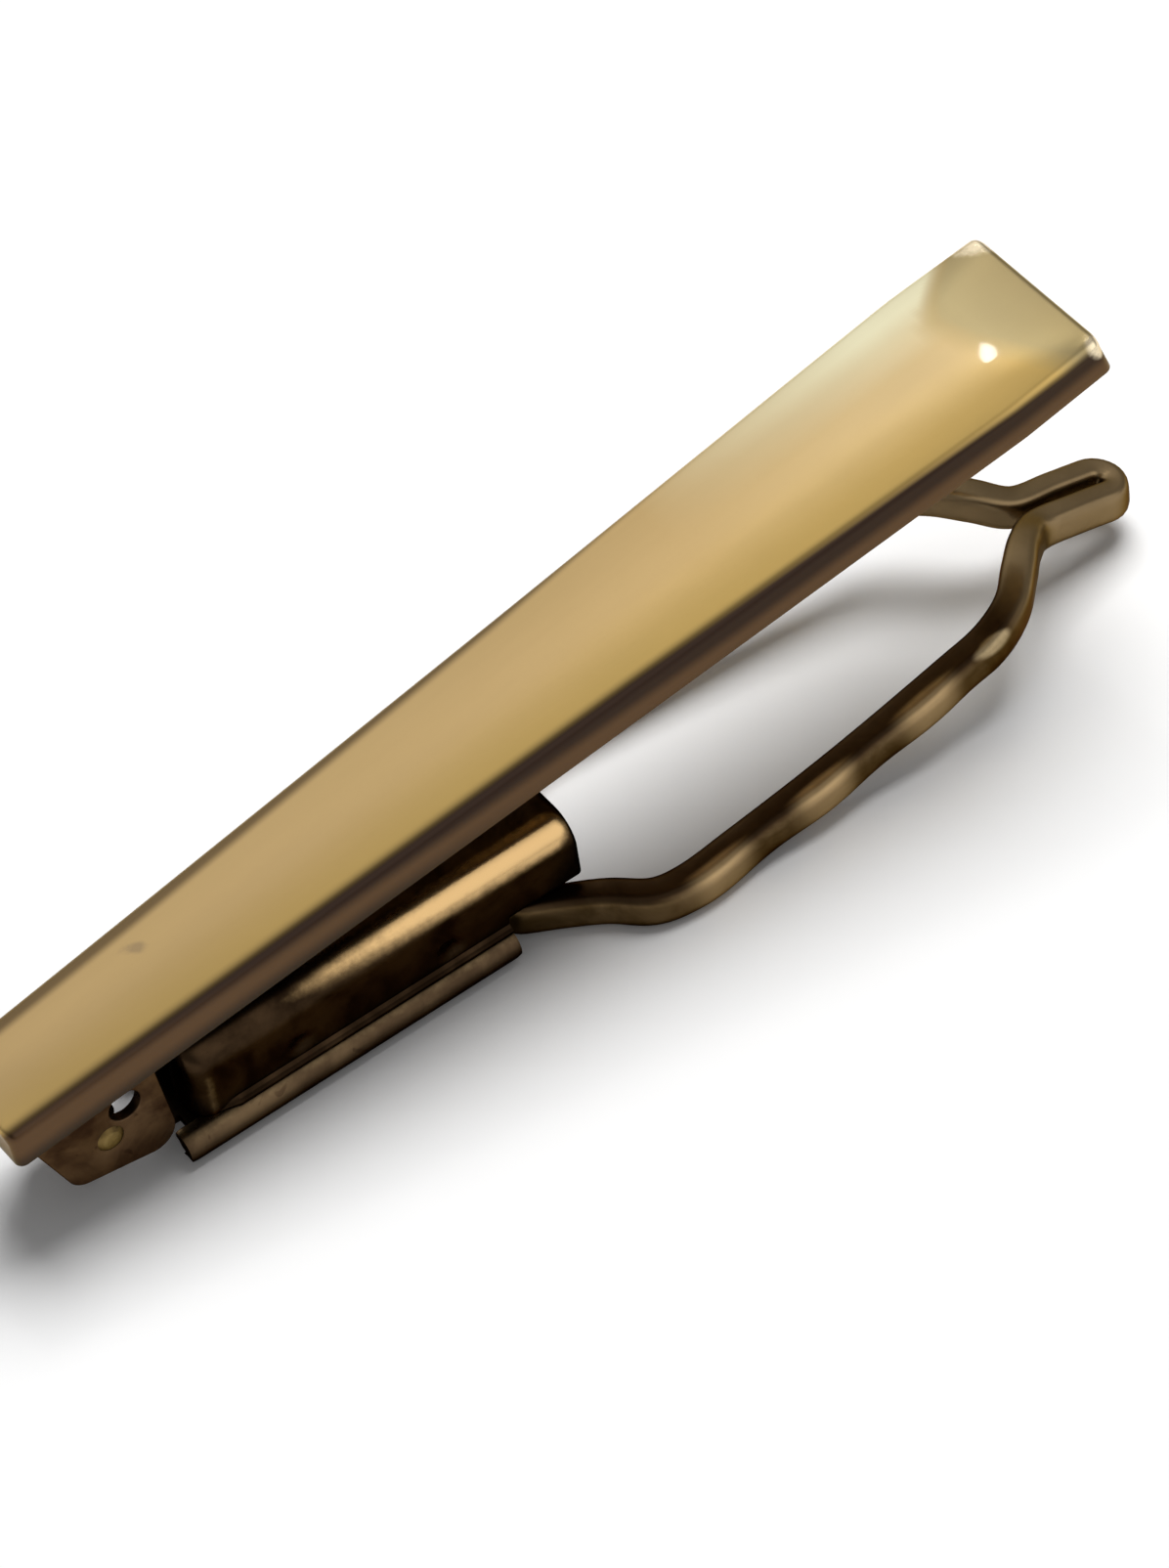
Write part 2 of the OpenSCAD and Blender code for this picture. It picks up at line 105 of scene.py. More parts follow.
def close_up(shape, mesh):
    """Joins points that coincide, turns all faces outwards and fills the mesh."""
    bmesh.ops.remove_doubles(shape, verts=shape.verts, dist=1e-7)
    bmesh.ops.recalc_face_normals(shape, faces=shape.faces)
    shape.to_mesh(mesh)
    shape.free()


def settled(obj):
    """The plain mesh that an object and its modifiers make."""
    bpy.context.view_layer.update()
    graph = bpy.context.evaluated_depsgraph_get()
    return bpy.data.meshes.new_from_object(obj.evaluated_get(graph))


def shade_smooth(mesh, sharp):
    """Shades a mesh smooth, apart from edges that bend by more than an angle."""
    mesh.polygons.foreach_set("use_smooth", [True] * len(mesh.polygons))
    mesh.set_sharp_from_angle(angle=radians(sharp))


def solid_object(name, verts, faces, bevel=0.0, sharp=32):
    """Makes a closed piece with outward faces, small rounded edges and smooth sides."""
    shape = bmesh.new()
    made = [shape.verts.new(v) for v in verts]
    for face in faces:
        corners = list(dict.fromkeys(made[k] for k in face))
        if len(corners) > 2 and shape.faces.get(corners) is None:
            shape.faces.new(corners)
    obj = add_object(name, bpy.data.meshes.new(name))
    close_up(shape, obj.data)
    if bevel:
        rounding = obj.modifiers.new("edges", "BEVEL")
        rounding.width = bevel * MM
        rounding.segments = 2
        rounding.limit_method = "ANGLE"
        rounding.angle_limit = radians(sharp)
        mesh = settled(obj)
        obj.modifiers.clear()
        obj.data = mesh
        mesh.name = name
    shade_smooth(obj.data, sharp + 12)
    return obj


def paint(obj, name, rule):
    """Keeps a number from 0 to 1 at each vertex, from its place, for the material."""
    layer = obj.data.attributes.new(name, "FLOAT", "POINT")
    layer.data.foreach_set("value", [min(max(rule(v.co), 0.0), 1.0) for v in obj.data.vertices])


def colour(code):
    """A colour written as in a paint chart, in the linear values that nodes use."""
    parts = [int(code[i:i + 2], 16) / 255 for i in (0, 2, 4)]
    return [c / 12.92 if c <= 0.04045 else ((c + 0.055) / 1.055) ** 2.4 for c in parts] + [1.0]


class Nodes:
    """A node tree written as calls. An input is a value or the output of a node."""

    def __init__(self, tree):
        self.tree = tree

    def give(self, made, inputs):
        for key, value in inputs.items():
            if isinstance(value, bpy.types.NodeSocket):
                self.tree.links.new(value, made.inputs[key])
            else:
                made.inputs[key].default_value = value
        return made

    def node(self, kind, inputs=None, **settings):
        made = self.tree.nodes.new(kind)
        for key, value in settings.items():
            setattr(made, key, value)
        return self.give(made, inputs or {})

    def math(self, how, a, b=0.0):
        return self.node("ShaderNodeMath", {0: a, 1: b}, operation=how).outputs[0]

    def times(self, a, b):
        return self.math("MULTIPLY", a, b)

    def in_sight(self):
        """1 for what the camera sees, straight or mirrored, and 0 for scattered light."""
        rays = self.node("ShaderNodeLightPath").outputs
        seen = self.math("MAXIMUM", rays["Is Camera Ray"], rays["Is Glossy Ray"])
        return self.math("MAXIMUM", seen, rays["Is Transmission Ray"])


class Finish(Nodes):
    """A material, built up from noise and from the numbers painted on a piece."""

    def __init__(self, name):
        self.material = bpy.data.materials.new(name)
        self.material.use_nodes = True
        super().__init__(self.material.node_tree)
        self.shader = self.tree.nodes["Principled BSDF"]
        self.place = self.node("ShaderNodeTexCoord").outputs["Object"]

    def drawn_out(self, turn=0.0, along=1.0):
        """Places that make a pattern run in long streaks along the piece."""
        return self.node("ShaderNodeMapping", {"Vector": self.place, "Rotation": (0, turn, 0),
                                               "Scale": (along, 1, 1)}).outputs["Vector"]

    def noise(self, scale, detail=3.0, rough=0.5, where=None, warp=0.0):
        return self.node("ShaderNodeTexNoise", {
            "Vector": self.place if where is None else where, "Scale": scale,
            "Detail": detail, "Roughness": rough, "Distortion": warp}).outputs["Fac"]

    def steps(self, value, low, high):
        """From 0 at the low value to 1 at the high one, with soft ends."""
        return self.node("ShaderNodeMapRange", {"Value": value, "From Min": low, "From Max": high},
                         clamp=True, interpolation_type="SMOOTHSTEP").outputs["Result"]

    def scale_to(self, value, low, high):
        return self.node("ShaderNodeMapRange", {"Value": value, "To Min": low, "To Max": high},
                         clamp=True).outputs["Result"]

    def blend_of(self, amount, a, b):
        """Blends two tones, each a colour's code or the output of a node."""
        a, b = [colour(tone) if isinstance(tone, str) else tone for tone in (a, b)]
        return self.node("ShaderNodeMix", {"Factor": amount, "A": a, "B": b},
                         data_type="RGBA").outputs["Result"]

    def stored(self, name):
        return self.node("ShaderNodeAttribute", attribute_name=name).outputs["Fac"]

    def bumps(self, *layers):
        """Each layer is (height, strength, distance in mm)."""
        below = {}
        for height, strength, distance in layers:
            layer = self.node("ShaderNodeBump", {"Height": height, "Strength": strength,
                                                 "Distance": distance * MM, **below})
            below = {"Normal": layer.outputs["Normal"]}
        self.give(self.shader, below)

    def metal(self, base, rough, coat=0.0, coat_rough=0.1, edge="FFFFFF"):
        self.give(self.shader, {"Base Color": base, "Roughness": rough, "Metallic": 1.0,
                                "Specular Tint": colour(edge), "Coat Weight": coat,
                                "Coat Roughness": coat_rough})
        return self.material


def bar_half(x):
    """Half the bar's width at x, drawn in at the rounded corners."""
    taper = HALF_NARROW + (HALF_WIDE - HALF_NARROW) * min(x / FLARE_END, 1)
    draw_in = END_DRAFT * max((x - FLARE_END) / (BAR_LENGTH - FLARE_END), 0)
    return taper - draw_in - round_off(min(x, BAR_LENGTH - x), CORNER_R)


def fullness(x):
    """The power of the crown's curve, which grows squarer towards the wide end."""
    return np.interp(x, (36, 43), (2.0, 2.6))


def crown_at(x, t):
    """The crown along the bar meets a flat slope at the wide end in a soft hip."""
    start = min(x / CROWN_END, 1)
    along = CROWN * (1 - abs(t) ** fullness(x)) * (1 - 0.6 * (1 - start) ** 2)
    slope = CROWN * (BAR_LENGTH - x) / HIP_REACH
    blend = max(HIP_SOFT - abs(along - slope), 0) / HIP_SOFT
    return max(min(along, slope) - blend * blend * HIP_SOFT / 4, 0)


def mirrored(points):
    """The same points on the other side, from the last to the first."""
    return [(p[0], -p[1], *p[2:]) for p in reversed(points)]


def lean_out(x, half, z, bend):
    """The sides and ends lean out a little from the bend down to the rim."""
    out = SIDE_DRAFT * (1 - z / bend)
    return (x + out * (2 * x / BAR_LENGTH - 1), half + out, z)


def bar_ring(x):
    """The outside at x: up the side, round the bend, and over the crown."""
    half, r = bar_half(x), np.interp(x, (24, 38), (BEND_NARROW, BEND_WIDE))
    top = SIDE_HEIGHT - round_off(min(x, BAR_LENGTH - x), END_R)
    ring = [lean_out(x, half, (top - r) * k / SIDE_STEPS, top - r) for k in range(SIDE_STEPS)]
    # The bend stops where it meets the slope of the crown.
    fall_off = crown_at(x, 0.97) / (0.03 * (half - r))
    last = pi / 2 - np.arctan(fall_off)
    ring += [(x, half - r * (1 - cos(a)), top - r + r * sin(a))
             for a in [last * k / BEND_STEPS for k in range(BEND_STEPS + 1)]]
    reach, brow = half - r * (1 - cos(last)), top - r * (1 - sin(last))
    places = [1 - 2 * k / CROWN_STEPS for k in range(1, CROWN_STEPS)]
    return ring + [(x, reach * t, brow + crown_at(x, t)) for t in places] + mirrored(ring)


def cavity_ring(x):
    """The inside at x: up the side, round the small inner bend, and across."""
    half = bar_half(min(max(x, 1.0), BAR_LENGTH - 1.0)) - SHEET
    roof, r = SIDE_HEIGHT - SHEET, INNER_BEND
    side = [lean_out(x, half, 0, roof), lean_out(x, half, (roof - r) / 2, roof)]
    side += [(x, half - r * (1 - cos(a)), roof - r + r * sin(a))
             for a in [pi / 2 * k / 4 for k in range(5)]]
    return side + mirrored(side)


def loft(rings, first=0, capped=True):
    """Joins a row of equal open rings, and closes both ends across the middle."""
    n = len(rings[0])
    faces = [[first + i * n + k, first + i * n + k + 1, first + (i + 1) * n + k + 1,
              first + (i + 1) * n + k] for i in range(len(rings) - 1) for k in range(n - 1)]
    if capped:
        for start in (first, first + (len(rings) - 1) * n):
            faces += [[start + k, start + k + 1, start + n - 2 - k, start + n - 1 - k]
                      for k in range(n // 2)]
    return faces


def tube(rings, n):
    """Joins a row of closed rings of n points each."""
    return [[i * n + k, i * n + (k + 1) % n, (i + 1) * n + (k + 1) % n, (i + 1) * n + k]
            for i in range(rings - 1) for k in range(n)]


def crowded(low, high, count, radius, fine=7):
    """Stations from low to high that crowd together over a rounding at both ends."""
    start = [low + radius * (1 - cos(pi / 2 * k / fine)) for k in range(fine)]
    end = [high - radius * (1 - cos(pi / 2 * k / fine)) for k in range(fine)]
    return start + list(np.linspace(low + radius, high - radius, count)) + end[::-1]


stations = sorted(set(round(x, 5) for x in crowded(0, BAR_LENGTH, 90, CORNER_R)
                      + crowded(0, BAR_LENGTH, 2, END_R, 5)
                      + list(np.linspace(BAR_LENGTH - CROWN_END - 0.5, BAR_LENGTH - 0.4, 36))))
outside = [bar_ring(x) for x in stations]
inside = [cavity_ring(x) for x in np.linspace(SHEET, BAR_LENGTH - SHEET, 30)]
n_out, n_in = len(outside[0]), len(inside[0])
verts = [p for ring in outside for p in ring]
start_in = len(verts)
verts += [p for ring in inside for p in ring]
faces = loft(outside) + loft(inside, start_in)
# The rim: two long strips and two short ones between the outside and the cavity.
out_far, out_near = [list(range(first, start_in, n_out)) for first in (0, n_out - 1)]
in_far, in_near = [list(range(start_in + first, len(verts), n_in)) for first in (0, n_in - 1)]
faces += [out_far + in_far[::-1], out_near + in_near[::-1],
          [out_far[0], in_far[0], in_near[0], out_near[0]],
          [out_far[-1], in_far[-1], in_near[-1], out_near[-1]]]
face_bar = solid_object("face_bar_pressing", [bar_to_row(p) for p in verts], faces, bevel=0.07)


def plain_half(x):
    """Half the bar's width at x, without the rounded corners."""
    return bar_half(min(max(x, 0.5), BAR_LENGTH - 0.5))


def worn_corner(p):
    """Rubbed places at the two corners of the wide end, the far one larger."""
    x, y, z = row_to_bar(p)
    end_wall = BAR_LENGTH - 0.04 + SIDE_DRAFT * max(1 - z / (SIDE_HEIGHT - BEND_WIDE), 0)
    if x > end_wall:
        return 0.0
    reach = sqrt((BAR_LENGTH - x) ** 2 + (HALF_WIDE - 0.05 - abs(y)) ** 2
                 + (SIDE_HEIGHT - 0.15 - z) ** 2)
    return 1.6 - reach / 1.05 if y > 0 else 1.3 - reach / 0.8


def down_side(p):
    """0 at the face and 1 at the rim."""
    return (SIDE_HEIGHT - row_to_bar(p)[2]) / SIDE_HEIGHT


def across_face(p):
    """0 at the near edge and 1 at the far edge."""
    x, y, z = row_to_bar(p)
    return 0.5 + 0.5 * y / plain_half(x)


def bend_shade(p):
    """Painted shade where the gold turns dark: well inside the near edge where the bar is narrow.
    """
    x, y, z = row_to_bar(p)
    down = max(SIDE_HEIGHT - z, 0)
    near = down - max(plain_half(x) + y, 0)
    near -= np.interp(x, (26, 32, 38, 41.5, 44.5), (-0.64, -0.54, -0.42, -0.30, -0.17))
    rest = down - max(min(plain_half(x) - y, x, BAR_LENGTH - x), 0) - 0.05
    return max(near, rest) / 0.6


def far_edge_shade(p):
    """A painted shade line along the far edge that fades out where the bar grows wide."""
    x, y, z = row_to_bar(p)
    width = np.interp(x, (8, 24, 32, 38), (1.05, 0.75, 0.35, 0.0))
    return (width - (plain_half(x) - y)) / 0.5


def facet_start(y):
    """Where the end's flat slope begins, furthest from the end a little off the middle."""
    off = y / 3.5 - 0.35
    return BAR_LENGTH - 3.8 + (4.0 if off > 0 else 1.5) * abs(off) ** 1.4


def far_highlight(p):
    """A painted highlight: the pale zone of the far half, strongest just before the hip."""
    x, y, z = row_to_bar(p)
    along = min(max((x - 30.5) / 10, 0), 1)
    across = np.interp(y / 3.5, (-0.7, -0.3, 0.1, 0.5, 0.75), (0.0, 0.10, 0.15, 0.56, 1.0))
    return 0.95 * along * across * min(max((facet_start(y) - x + 0.4) / 0.9, 0), 1)


def end_slope(p):
    """The flat slope at the wide end, a painted reflection of a duller part of the room."""
    x, y, z = row_to_bar(p)
    return (x - facet_start(y)) / 1.1 + 0.4


def scuff(p):
    """A small slanting scuff in the plating near the narrow end."""
    x, y, z = row_to_bar(p)
    right, up = x - 7.4, y - 0.8
    return 1.2 - sqrt(((right + up) / 0.5) ** 2 + ((up - right) / 1.1) ** 2)


def narrow_end(p):
    return 1 - row_to_bar(p)[0] / 30


def end_edge(p):
    return 1 - (BAR_LENGTH - row_to_bar(p)[0]) / 2.6


for rule in (worn_corner, down_side, across_face, bend_shade, far_edge_shade, far_highlight, end_slope,
             scuff, narrow_end, end_edge):
    paint(face_bar, rule.__name__, rule)

gold = Finish("satin_gold")
brushed = gold.drawn_out(LEAN, 0.05)
grain = gold.noise(9000, 2, 0.6, brushed)
streaks = gold.noise(1500, 3, 0.6, brushed)
cloud = gold.noise(150, 3, 0.5)
speckle = gold.noise(1800, 3, 0.6)
narrow = gold.stored("narrow_end")
# The face, from the near edge to the far one, with its clouds and streaks. The change from the
# yellower near half to the paler far half is a painted reflection; the pale far zone is a painted
# highlight, the end's slope a painted reflection, and the far edge's dark line painted shade.
tone = gold.blend_of(gold.steps(gold.stored("across_face"), 0.02, 0.50), "DBB769", "CBAC77")
tone = gold.blend_of(gold.times(narrow, 0.35), tone, "A98C62")
tone = gold.blend_of(gold.scale_to(cloud, 0.0, 0.25), tone, "BFA464")
tone = gold.blend_of(gold.scale_to(streaks, 0.0, 0.10), tone, "8F7548")
tone = gold.blend_of(gold.stored("far_highlight"), tone, "F2ECC8")
# Painted reflection on the end's flat slope, darker towards the end edge.
facet = gold.blend_of(gold.stored("end_edge"), "B2A277", "9F8E64")
tone = gold.blend_of(gold.times(gold.stored("end_slope"), 0.9), tone, facet)
far_shade_line = gold.steps(gold.stored("far_edge_shade"), 0.0, 1.0)
tone = gold.blend_of(gold.times(far_shade_line, 0.85), tone, "5E4A30")
# Painted shade: the sides are dark, and darkest along the bend and at the narrow end's rim.
fall = gold.stored("down_side")
side_shade_depth = gold.math("ADD", fall, gold.times(narrow, 0.5))
side = gold.blend_of(gold.steps(side_shade_depth, 0.42, 0.8), "2B190B", "573E25")
low_rim_shade = gold.times(gold.steps(fall, 0.55, 1.0), gold.steps(narrow, 0.2, 0.55))
side = gold.blend_of(gold.times(low_rim_shade, 0.85), side, "1E140C")
tone = gold.blend_of(gold.steps(gold.stored("bend_shade"), 0.0, 1.0), tone, side)
# Wear at the corners, and the scuff.
worn = gold.times(gold.stored("worn_corner"), gold.scale_to(speckle, 0.35, 1.45))
worn = gold.steps(worn, 0.35, 0.7)
tone = gold.blend_of(worn, tone, "EBDAB8")
scuffed = gold.times(gold.stored("scuff"), gold.scale_to(speckle, 0.0, 1.6))
tone = gold.blend_of(gold.times(gold.steps(scuffed, 0.2, 0.8), 0.45), tone, "7B6A58")
rough = gold.scale_to(gold.noise(700, 4, 0.6, brushed), 0.30, 0.42)
rough = gold.math("SUBTRACT", rough, gold.times(worn, 0.14))
gold.bumps((grain, 0.10, 0.02), (cloud, 0.10, 0.05), (speckle, 0.05, 0.05))
face_bar.data.materials.append(gold.metal(tone, rough, coat=0.28, coat_rough=0.04, edge="E6D3AE"))
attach(face_bar, "bar")
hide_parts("face_bar")


# Hinge bracket
# A U of brass sheet soldered under the rims at the bar's narrow end. Its two ears hold
# the pin and have an open hole beside it. It is dark with age and never polished.
EAR_SPAN, BRACKET_SHEET = 4.1, 0.45
EAR_TOE, EAR_HEEL, EAR_R = (-1.05, -0.45), (1.35, -1.3), 0.9
EAR_LEFT, EAR_RIGHT = -2.45, 2.4
SIGHT_AT, SIGHT_R, PIN_R = (0.95, 0.95), 0.62, 0.42
RIDGE_R, RIDGE_SUNK, RIDGE_STEPS = 0.3, 0.105, 14
SEAT = 0.02


def pin_to_row(p):
    """Takes a point in mm from the pin's axis, leaning with the bar, to the shared frame."""
    return bar_to_row((p[0] + PIN_FROM_END, p[1], p[2] - PIN_DROP))


def arc(centre, radius, start, end, count):
    """Points along an arc, from one angle in degrees to another."""
    return [(centre[0] + radius * cos(radians(start + (end - start) * k / count)),
             centre[1] + radius * sin(radians(start + (end - start) * k / count)))
            for k in range(count + 1)]


def plate(outline, holes, low, high, edge=0.06):
    """A flat plate with round holes in X and Z, from y = low to y = high, with soft
    edges: each outline is stepped in over the edge's rounding."""
    shape = bmesh.new()
    levels = [(low, edge)] + [(low + edge * (1 - cos(a)), edge * (1 - sin(a)))
                              for a in (pi / 6, pi / 3, pi / 2)]
    levels += [(low + high - y, inset) for y, inset in reversed(levels)]
    loops = []
    for line, sign in [(outline, 1)] + [(hole, -1) for hole in holes]:
        count = len(line)
        ways = [Vector((line[(k + 1) % count][0] - line[k - 1][0],
                        line[(k + 1) % count][1] - line[k - 1][1])).normalized()
                for k in range(count)]
        rows = [[shape.verts.new((x - way.y * inset * sign, y, z + way.x * inset * sign))
                 for (x, z), way in zip(line, ways)] for y, inset in levels]
        for a, b in zip(rows, rows[1:]):
            for k in range(count):
                shape.faces.new((a[k], a[(k + 1) % count], b[(k + 1) % count], b[k]))
        loops.append(rows)
    for end in (0, -1):
        edges = [shape.edges.get((rows[end][k - 1], rows[end][k]))
                 for rows in loops for k in range(len(rows[end]))]
        bmesh.ops.triangle_fill(shape, use_beauty=True, use_dissolve=False, edges=edges)
    bmesh.ops.recalc_face_normals(shape, faces=shape.faces)
    verts = [tuple(v.co) for v in shape.verts]
    shape.verts.index_update()
    faces = [[v.index for v in f.verts] for f in shape.faces]
    shape.free()
    return verts, faces


def block(low, high):
    """A plain block of sheet, to be joined into a piece by solid_object."""
    verts = [(x, y, z) for x in (low[0], high[0]) for y in (low[1], high[1])
             for z in (low[2], high[2])]
    return verts, [[0, 1, 3, 2], [4, 6, 7, 5], [0, 4, 5, 1], [2, 3, 7, 6], [0, 2, 6, 4],
                   [1, 5, 7, 3]]


def gather(*parts):
    """Puts several closed shells in one list of points and faces."""
    verts, faces = [], []
    for part_verts, part_faces in parts:
        faces += [[k + len(verts) for k in face] for face in part_faces]
        verts += part_verts
    return verts, faces


def tangent_angle(a, b):
    """The direction of the outer tangent from one equal circle to the next, less 90."""
    return np.degrees(np.arctan2(b[1] - a[1], b[0] - a[0])) - 90


def touch_angle(point, centre, radius, side):
    """The angle on a circle where a line from a point touches it."""
    away = np.degrees(np.arctan2(point[1] - centre[1], point[0] - centre[0]))
    gap = sqrt((point[0] - centre[0]) ** 2 + (point[1] - centre[1]) ** 2)
    return away + side * np.degrees(np.arccos(radius / gap))


left_touch = touch_angle((EAR_LEFT, PIN_DROP - BRACKET_SHEET), EAR_TOE, EAR_R, 1)
under = tangent_angle(EAR_TOE, EAR_HEEL)
right_touch = touch_angle((EAR_RIGHT, PIN_DROP - BRACKET_SHEET), EAR_HEEL, EAR_R, -1)
ear_line = [(EAR_RIGHT, PIN_DROP), (EAR_LEFT, PIN_DROP), (EAR_LEFT, PIN_DROP - BRACKET_SHEET)]
ear_line += arc(EAR_TOE, EAR_R, left_touch, under + 360, 20)
ear_line += arc(EAR_HEEL, EAR_R, under, right_touch, 24)
ear_line += [(EAR_RIGHT, PIN_DROP - BRACKET_SHEET)]
sight_hole = arc(SIGHT_AT, SIGHT_R, 0, 360, 48)[:-1]
pin_hole = arc((0, 0), PIN_R, 0, 360, 36)[:-1]
inner = EAR_SPAN / 2 - BRACKET_SHEET
ears = [plate(ear_line, [sight_hole, pin_hole], inner, EAR_SPAN / 2),
        plate(ear_line, [sight_hole, pin_hole], -EAR_SPAN / 2, -inner)]
web = block((EAR_LEFT, -inner, PIN_DROP - BRACKET_SHEET), (EAR_RIGHT, inner, PIN_DROP - SEAT))
# The snap ridge is a half round below the web, sunk a little into it.
n = RIDGE_STEPS + 1
ridge = [(RIDGE_R * cos(a), y, PIN_DROP - BRACKET_SHEET + RIDGE_SUNK + RIDGE_R * sin(a))
         for y in (-inner, inner) for a in [pi + pi * k / RIDGE_STEPS for k in range(n)]]
ridge_faces = [[k, k + 1, k + 1 + n, k + n] for k in range(RIDGE_STEPS)]
ridge_faces += [list(range(n)), list(range(n, 2 * n)), [0, n, 2 * n - 1, n - 1]]
verts, faces = gather(*ears, web, (ridge, ridge_faces))
bracket = solid_object("hinge_bracket_ears", [pin_to_row(p) for p in verts], faces)


def aged(name, clean, dark, light, scale=1.0, rough=(0.34, 0.55), ragged=0.5, low_shade=None):
    """Old bronze-toned brass: clean metal, brown tarnish in patches, worn places, which on the
    hood's edges are wholly and on the tray's rolls partly painted highlights, and painted shade on
    the lower side where asked.
    """
    finish = Finish(name)
    patches = finish.noise(420 * scale, 5, 0.6, warp=0.4)
    fine = finish.noise(2600 * scale, 3, 0.65)
    tone = finish.blend_of(finish.steps(patches, 0.34, 0.66), clean, dark)
    tone = finish.blend_of(finish.scale_to(fine, 0.0, 0.28), tone, dark)
    spots = finish.steps(finish.noise(1500 * scale, 2, 0.5, warp=0.8), 0.66, 0.72)
    tone = finish.blend_of(finish.times(spots, 0.45), tone, "2A1B12")
    # Painted shade on the lower side.
    if low_shade:
        tone = finish.blend_of(finish.times(finish.stored("low_side"), 0.85), tone, low_shade)
    # Worn places; on the hood and partly on the tray these are painted highlights.
    rub_and_sheen = finish.times(finish.stored("wear_and_sheen"), finish.scale_to(fine, 1 - ragged, 1 + ragged))
    rub_and_sheen = finish.steps(rub_and_sheen, 0.30, 0.85)
    tone = finish.blend_of(rub_and_sheen, tone, light)
    gloss = finish.scale_to(patches, rough[0], rough[1])
    gloss = finish.math("SUBTRACT", gloss, finish.times(rub_and_sheen, 0.12))
    finish.bumps((patches, 0.22, 0.05), (fine, 0.16, 0.03))
    return finish.metal(tone, gloss, edge="5C544A")


paint(bracket, "wear_and_sheen", lambda p: 0.16)
bracket.data.materials.append(aged("bracket_bronze", "665039", "3B2A1E", "86725A"))
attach(bracket, "bar")
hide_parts("hinge_bracket")


# Pivot pin
# A shouldered brass pin. Its ends are riveted over the ears in low domes, a little
# flattened where the punch struck them.
SHOULDER_R, PIN_RISE, BARREL_HALF = 0.6, 0.14, 1.14
half_span = EAR_SPAN / 2
pin_profile = [(0.0, half_span + PIN_RISE), (0.2, half_span + PIN_RISE - 0.004),
               (0.33, half_span + PIN_RISE - 0.02), (0.43, half_span + PIN_RISE - 0.06),
               (0.50, half_span + 0.03), (0.525, half_span), (PIN_R, half_span),
               (PIN_R, inner - SEAT), (SHOULDER_R, inner - SEAT),
               (SHOULDER_R, BARREL_HALF), (PIN_R, BARREL_HALF)]
pin_profile += [(r, -y) for r, y in reversed(pin_profile)]


def turned(profile, count=56):
    """Turns a profile of (radius, y) about the Y axis into a closed shell."""
    verts = [(r * cos(2 * pi * k / count), y, r * sin(2 * pi * k / count))
             for r, y in profile for k in range(count)]
    return verts, tube(len(profile), count)


verts, faces = turned(pin_profile)
pin = solid_object("pivot_pin_turned", [pin_to_row(p) for p in verts], faces, sharp=30)
paint(pin, "wear_and_sheen", lambda p: 0.5 if abs(p[1]) > (half_span + 0.1) * MM else 0.2)
pin.data.materials.append(aged("pin_gold", "7A653C", "4B3C24", "947F50", scale=2.0))
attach(pin, "bar")
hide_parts("pivot_pin")


# Base tray
# The floor of the spring box, folded from thin sheet. Both long edges are rolled
# over, and a narrow tongue runs to the hinge and curls round the pin as a barrel.
TRAY_START, TRAY_END, TRAY_SHEET, ROLL_R = 2.4, 16.2, 0.32, 0.64
ROLL_Y, LIP_INNER, FLOOR_START = 2.135, 1.83, 3.2
BARREL_R, BARREL_BORE, BARREL_REACH, BARREL_EDGE = 0.78, 0.46, 1.1, 0.04
TONGUE_BEND, TONGUE_HALF, PINCH_IN = 1.2, 0.65, 0.57
OUTER_STEPS, HOLLOW_STEPS, TIP_STEPS = 22, 14, 8


def lever_to_row(p):
    """Takes a point in mm from below the pin's axis, on the table, to the shared frame."""
    return ((PIVOT_X + p[0]) * MM, p[1] * MM, p[2] * MM)


def rolled_edge(side):
    """The rolled edge as a closed strip, its ends rounded up from the table."""
    outer = [(ROLL_Y + ROLL_R * cos(a), ROLL_R + ROLL_R * sin(a))
             for a in [-pi / 2 + pi * k / OUTER_STEPS for k in range(OUTER_STEPS + 1)]]
    hollow = ROLL_R - TRAY_SHEET
    back = [(ROLL_Y + hollow * cos(a), ROLL_R + hollow * sin(a))
            for a in [pi / 2 - pi * k / HOLLOW_STEPS for k in range(HOLLOW_STEPS + 1)]]
    half = TRAY_SHEET / 2
    tip = [(LIP_INNER + 0.1 * (1 + cos(a)), 2 * ROLL_R - half + half * sin(a))
           for a in [pi / 2 + pi * k / TIP_STEPS for k in range(TIP_STEPS + 1)]]
    section = outer + tip + back
    verts = []
    ends = [0.0, 0.03, 0.09, 0.17, 0.27]
    toe_r = 0.45
    for end, d in [("left", d) for d in ends] + [("right", d) for d in reversed(ends)]:
        inset = 0.05 * (1 - d / ends[-1]) ** 2
        for y, z in section:
            lift = toe_r - sqrt(max(toe_r * toe_r - max(toe_r - z, 0) ** 2, 0))
            x = TRAY_START + lift + d if end == "left" else TRAY_END - lift - d
            verts.append((x, side * (y + (ROLL_Y - y) * inset), z + (ROLL_R - z) * inset))
    n = len(section)
    faces = tube(2 * len(ends), n)
    # The open end of the roll is closed strip by strip across the sheet's thickness.
    pairs = [(k, n - 1 - round(k * HOLLOW_STEPS / OUTER_STEPS)) for k in range(OUTER_STEPS + 1)]
    for start in (0, len(verts) - n):
        for (a, b), (c, d) in zip(pairs, pairs[1:]):
            faces.append([start + a, start + c, start + d, start + b])
        faces.append([start + k for k in range(OUTER_STEPS, OUTER_STEPS + TIP_STEPS + 3)])
    return verts, faces


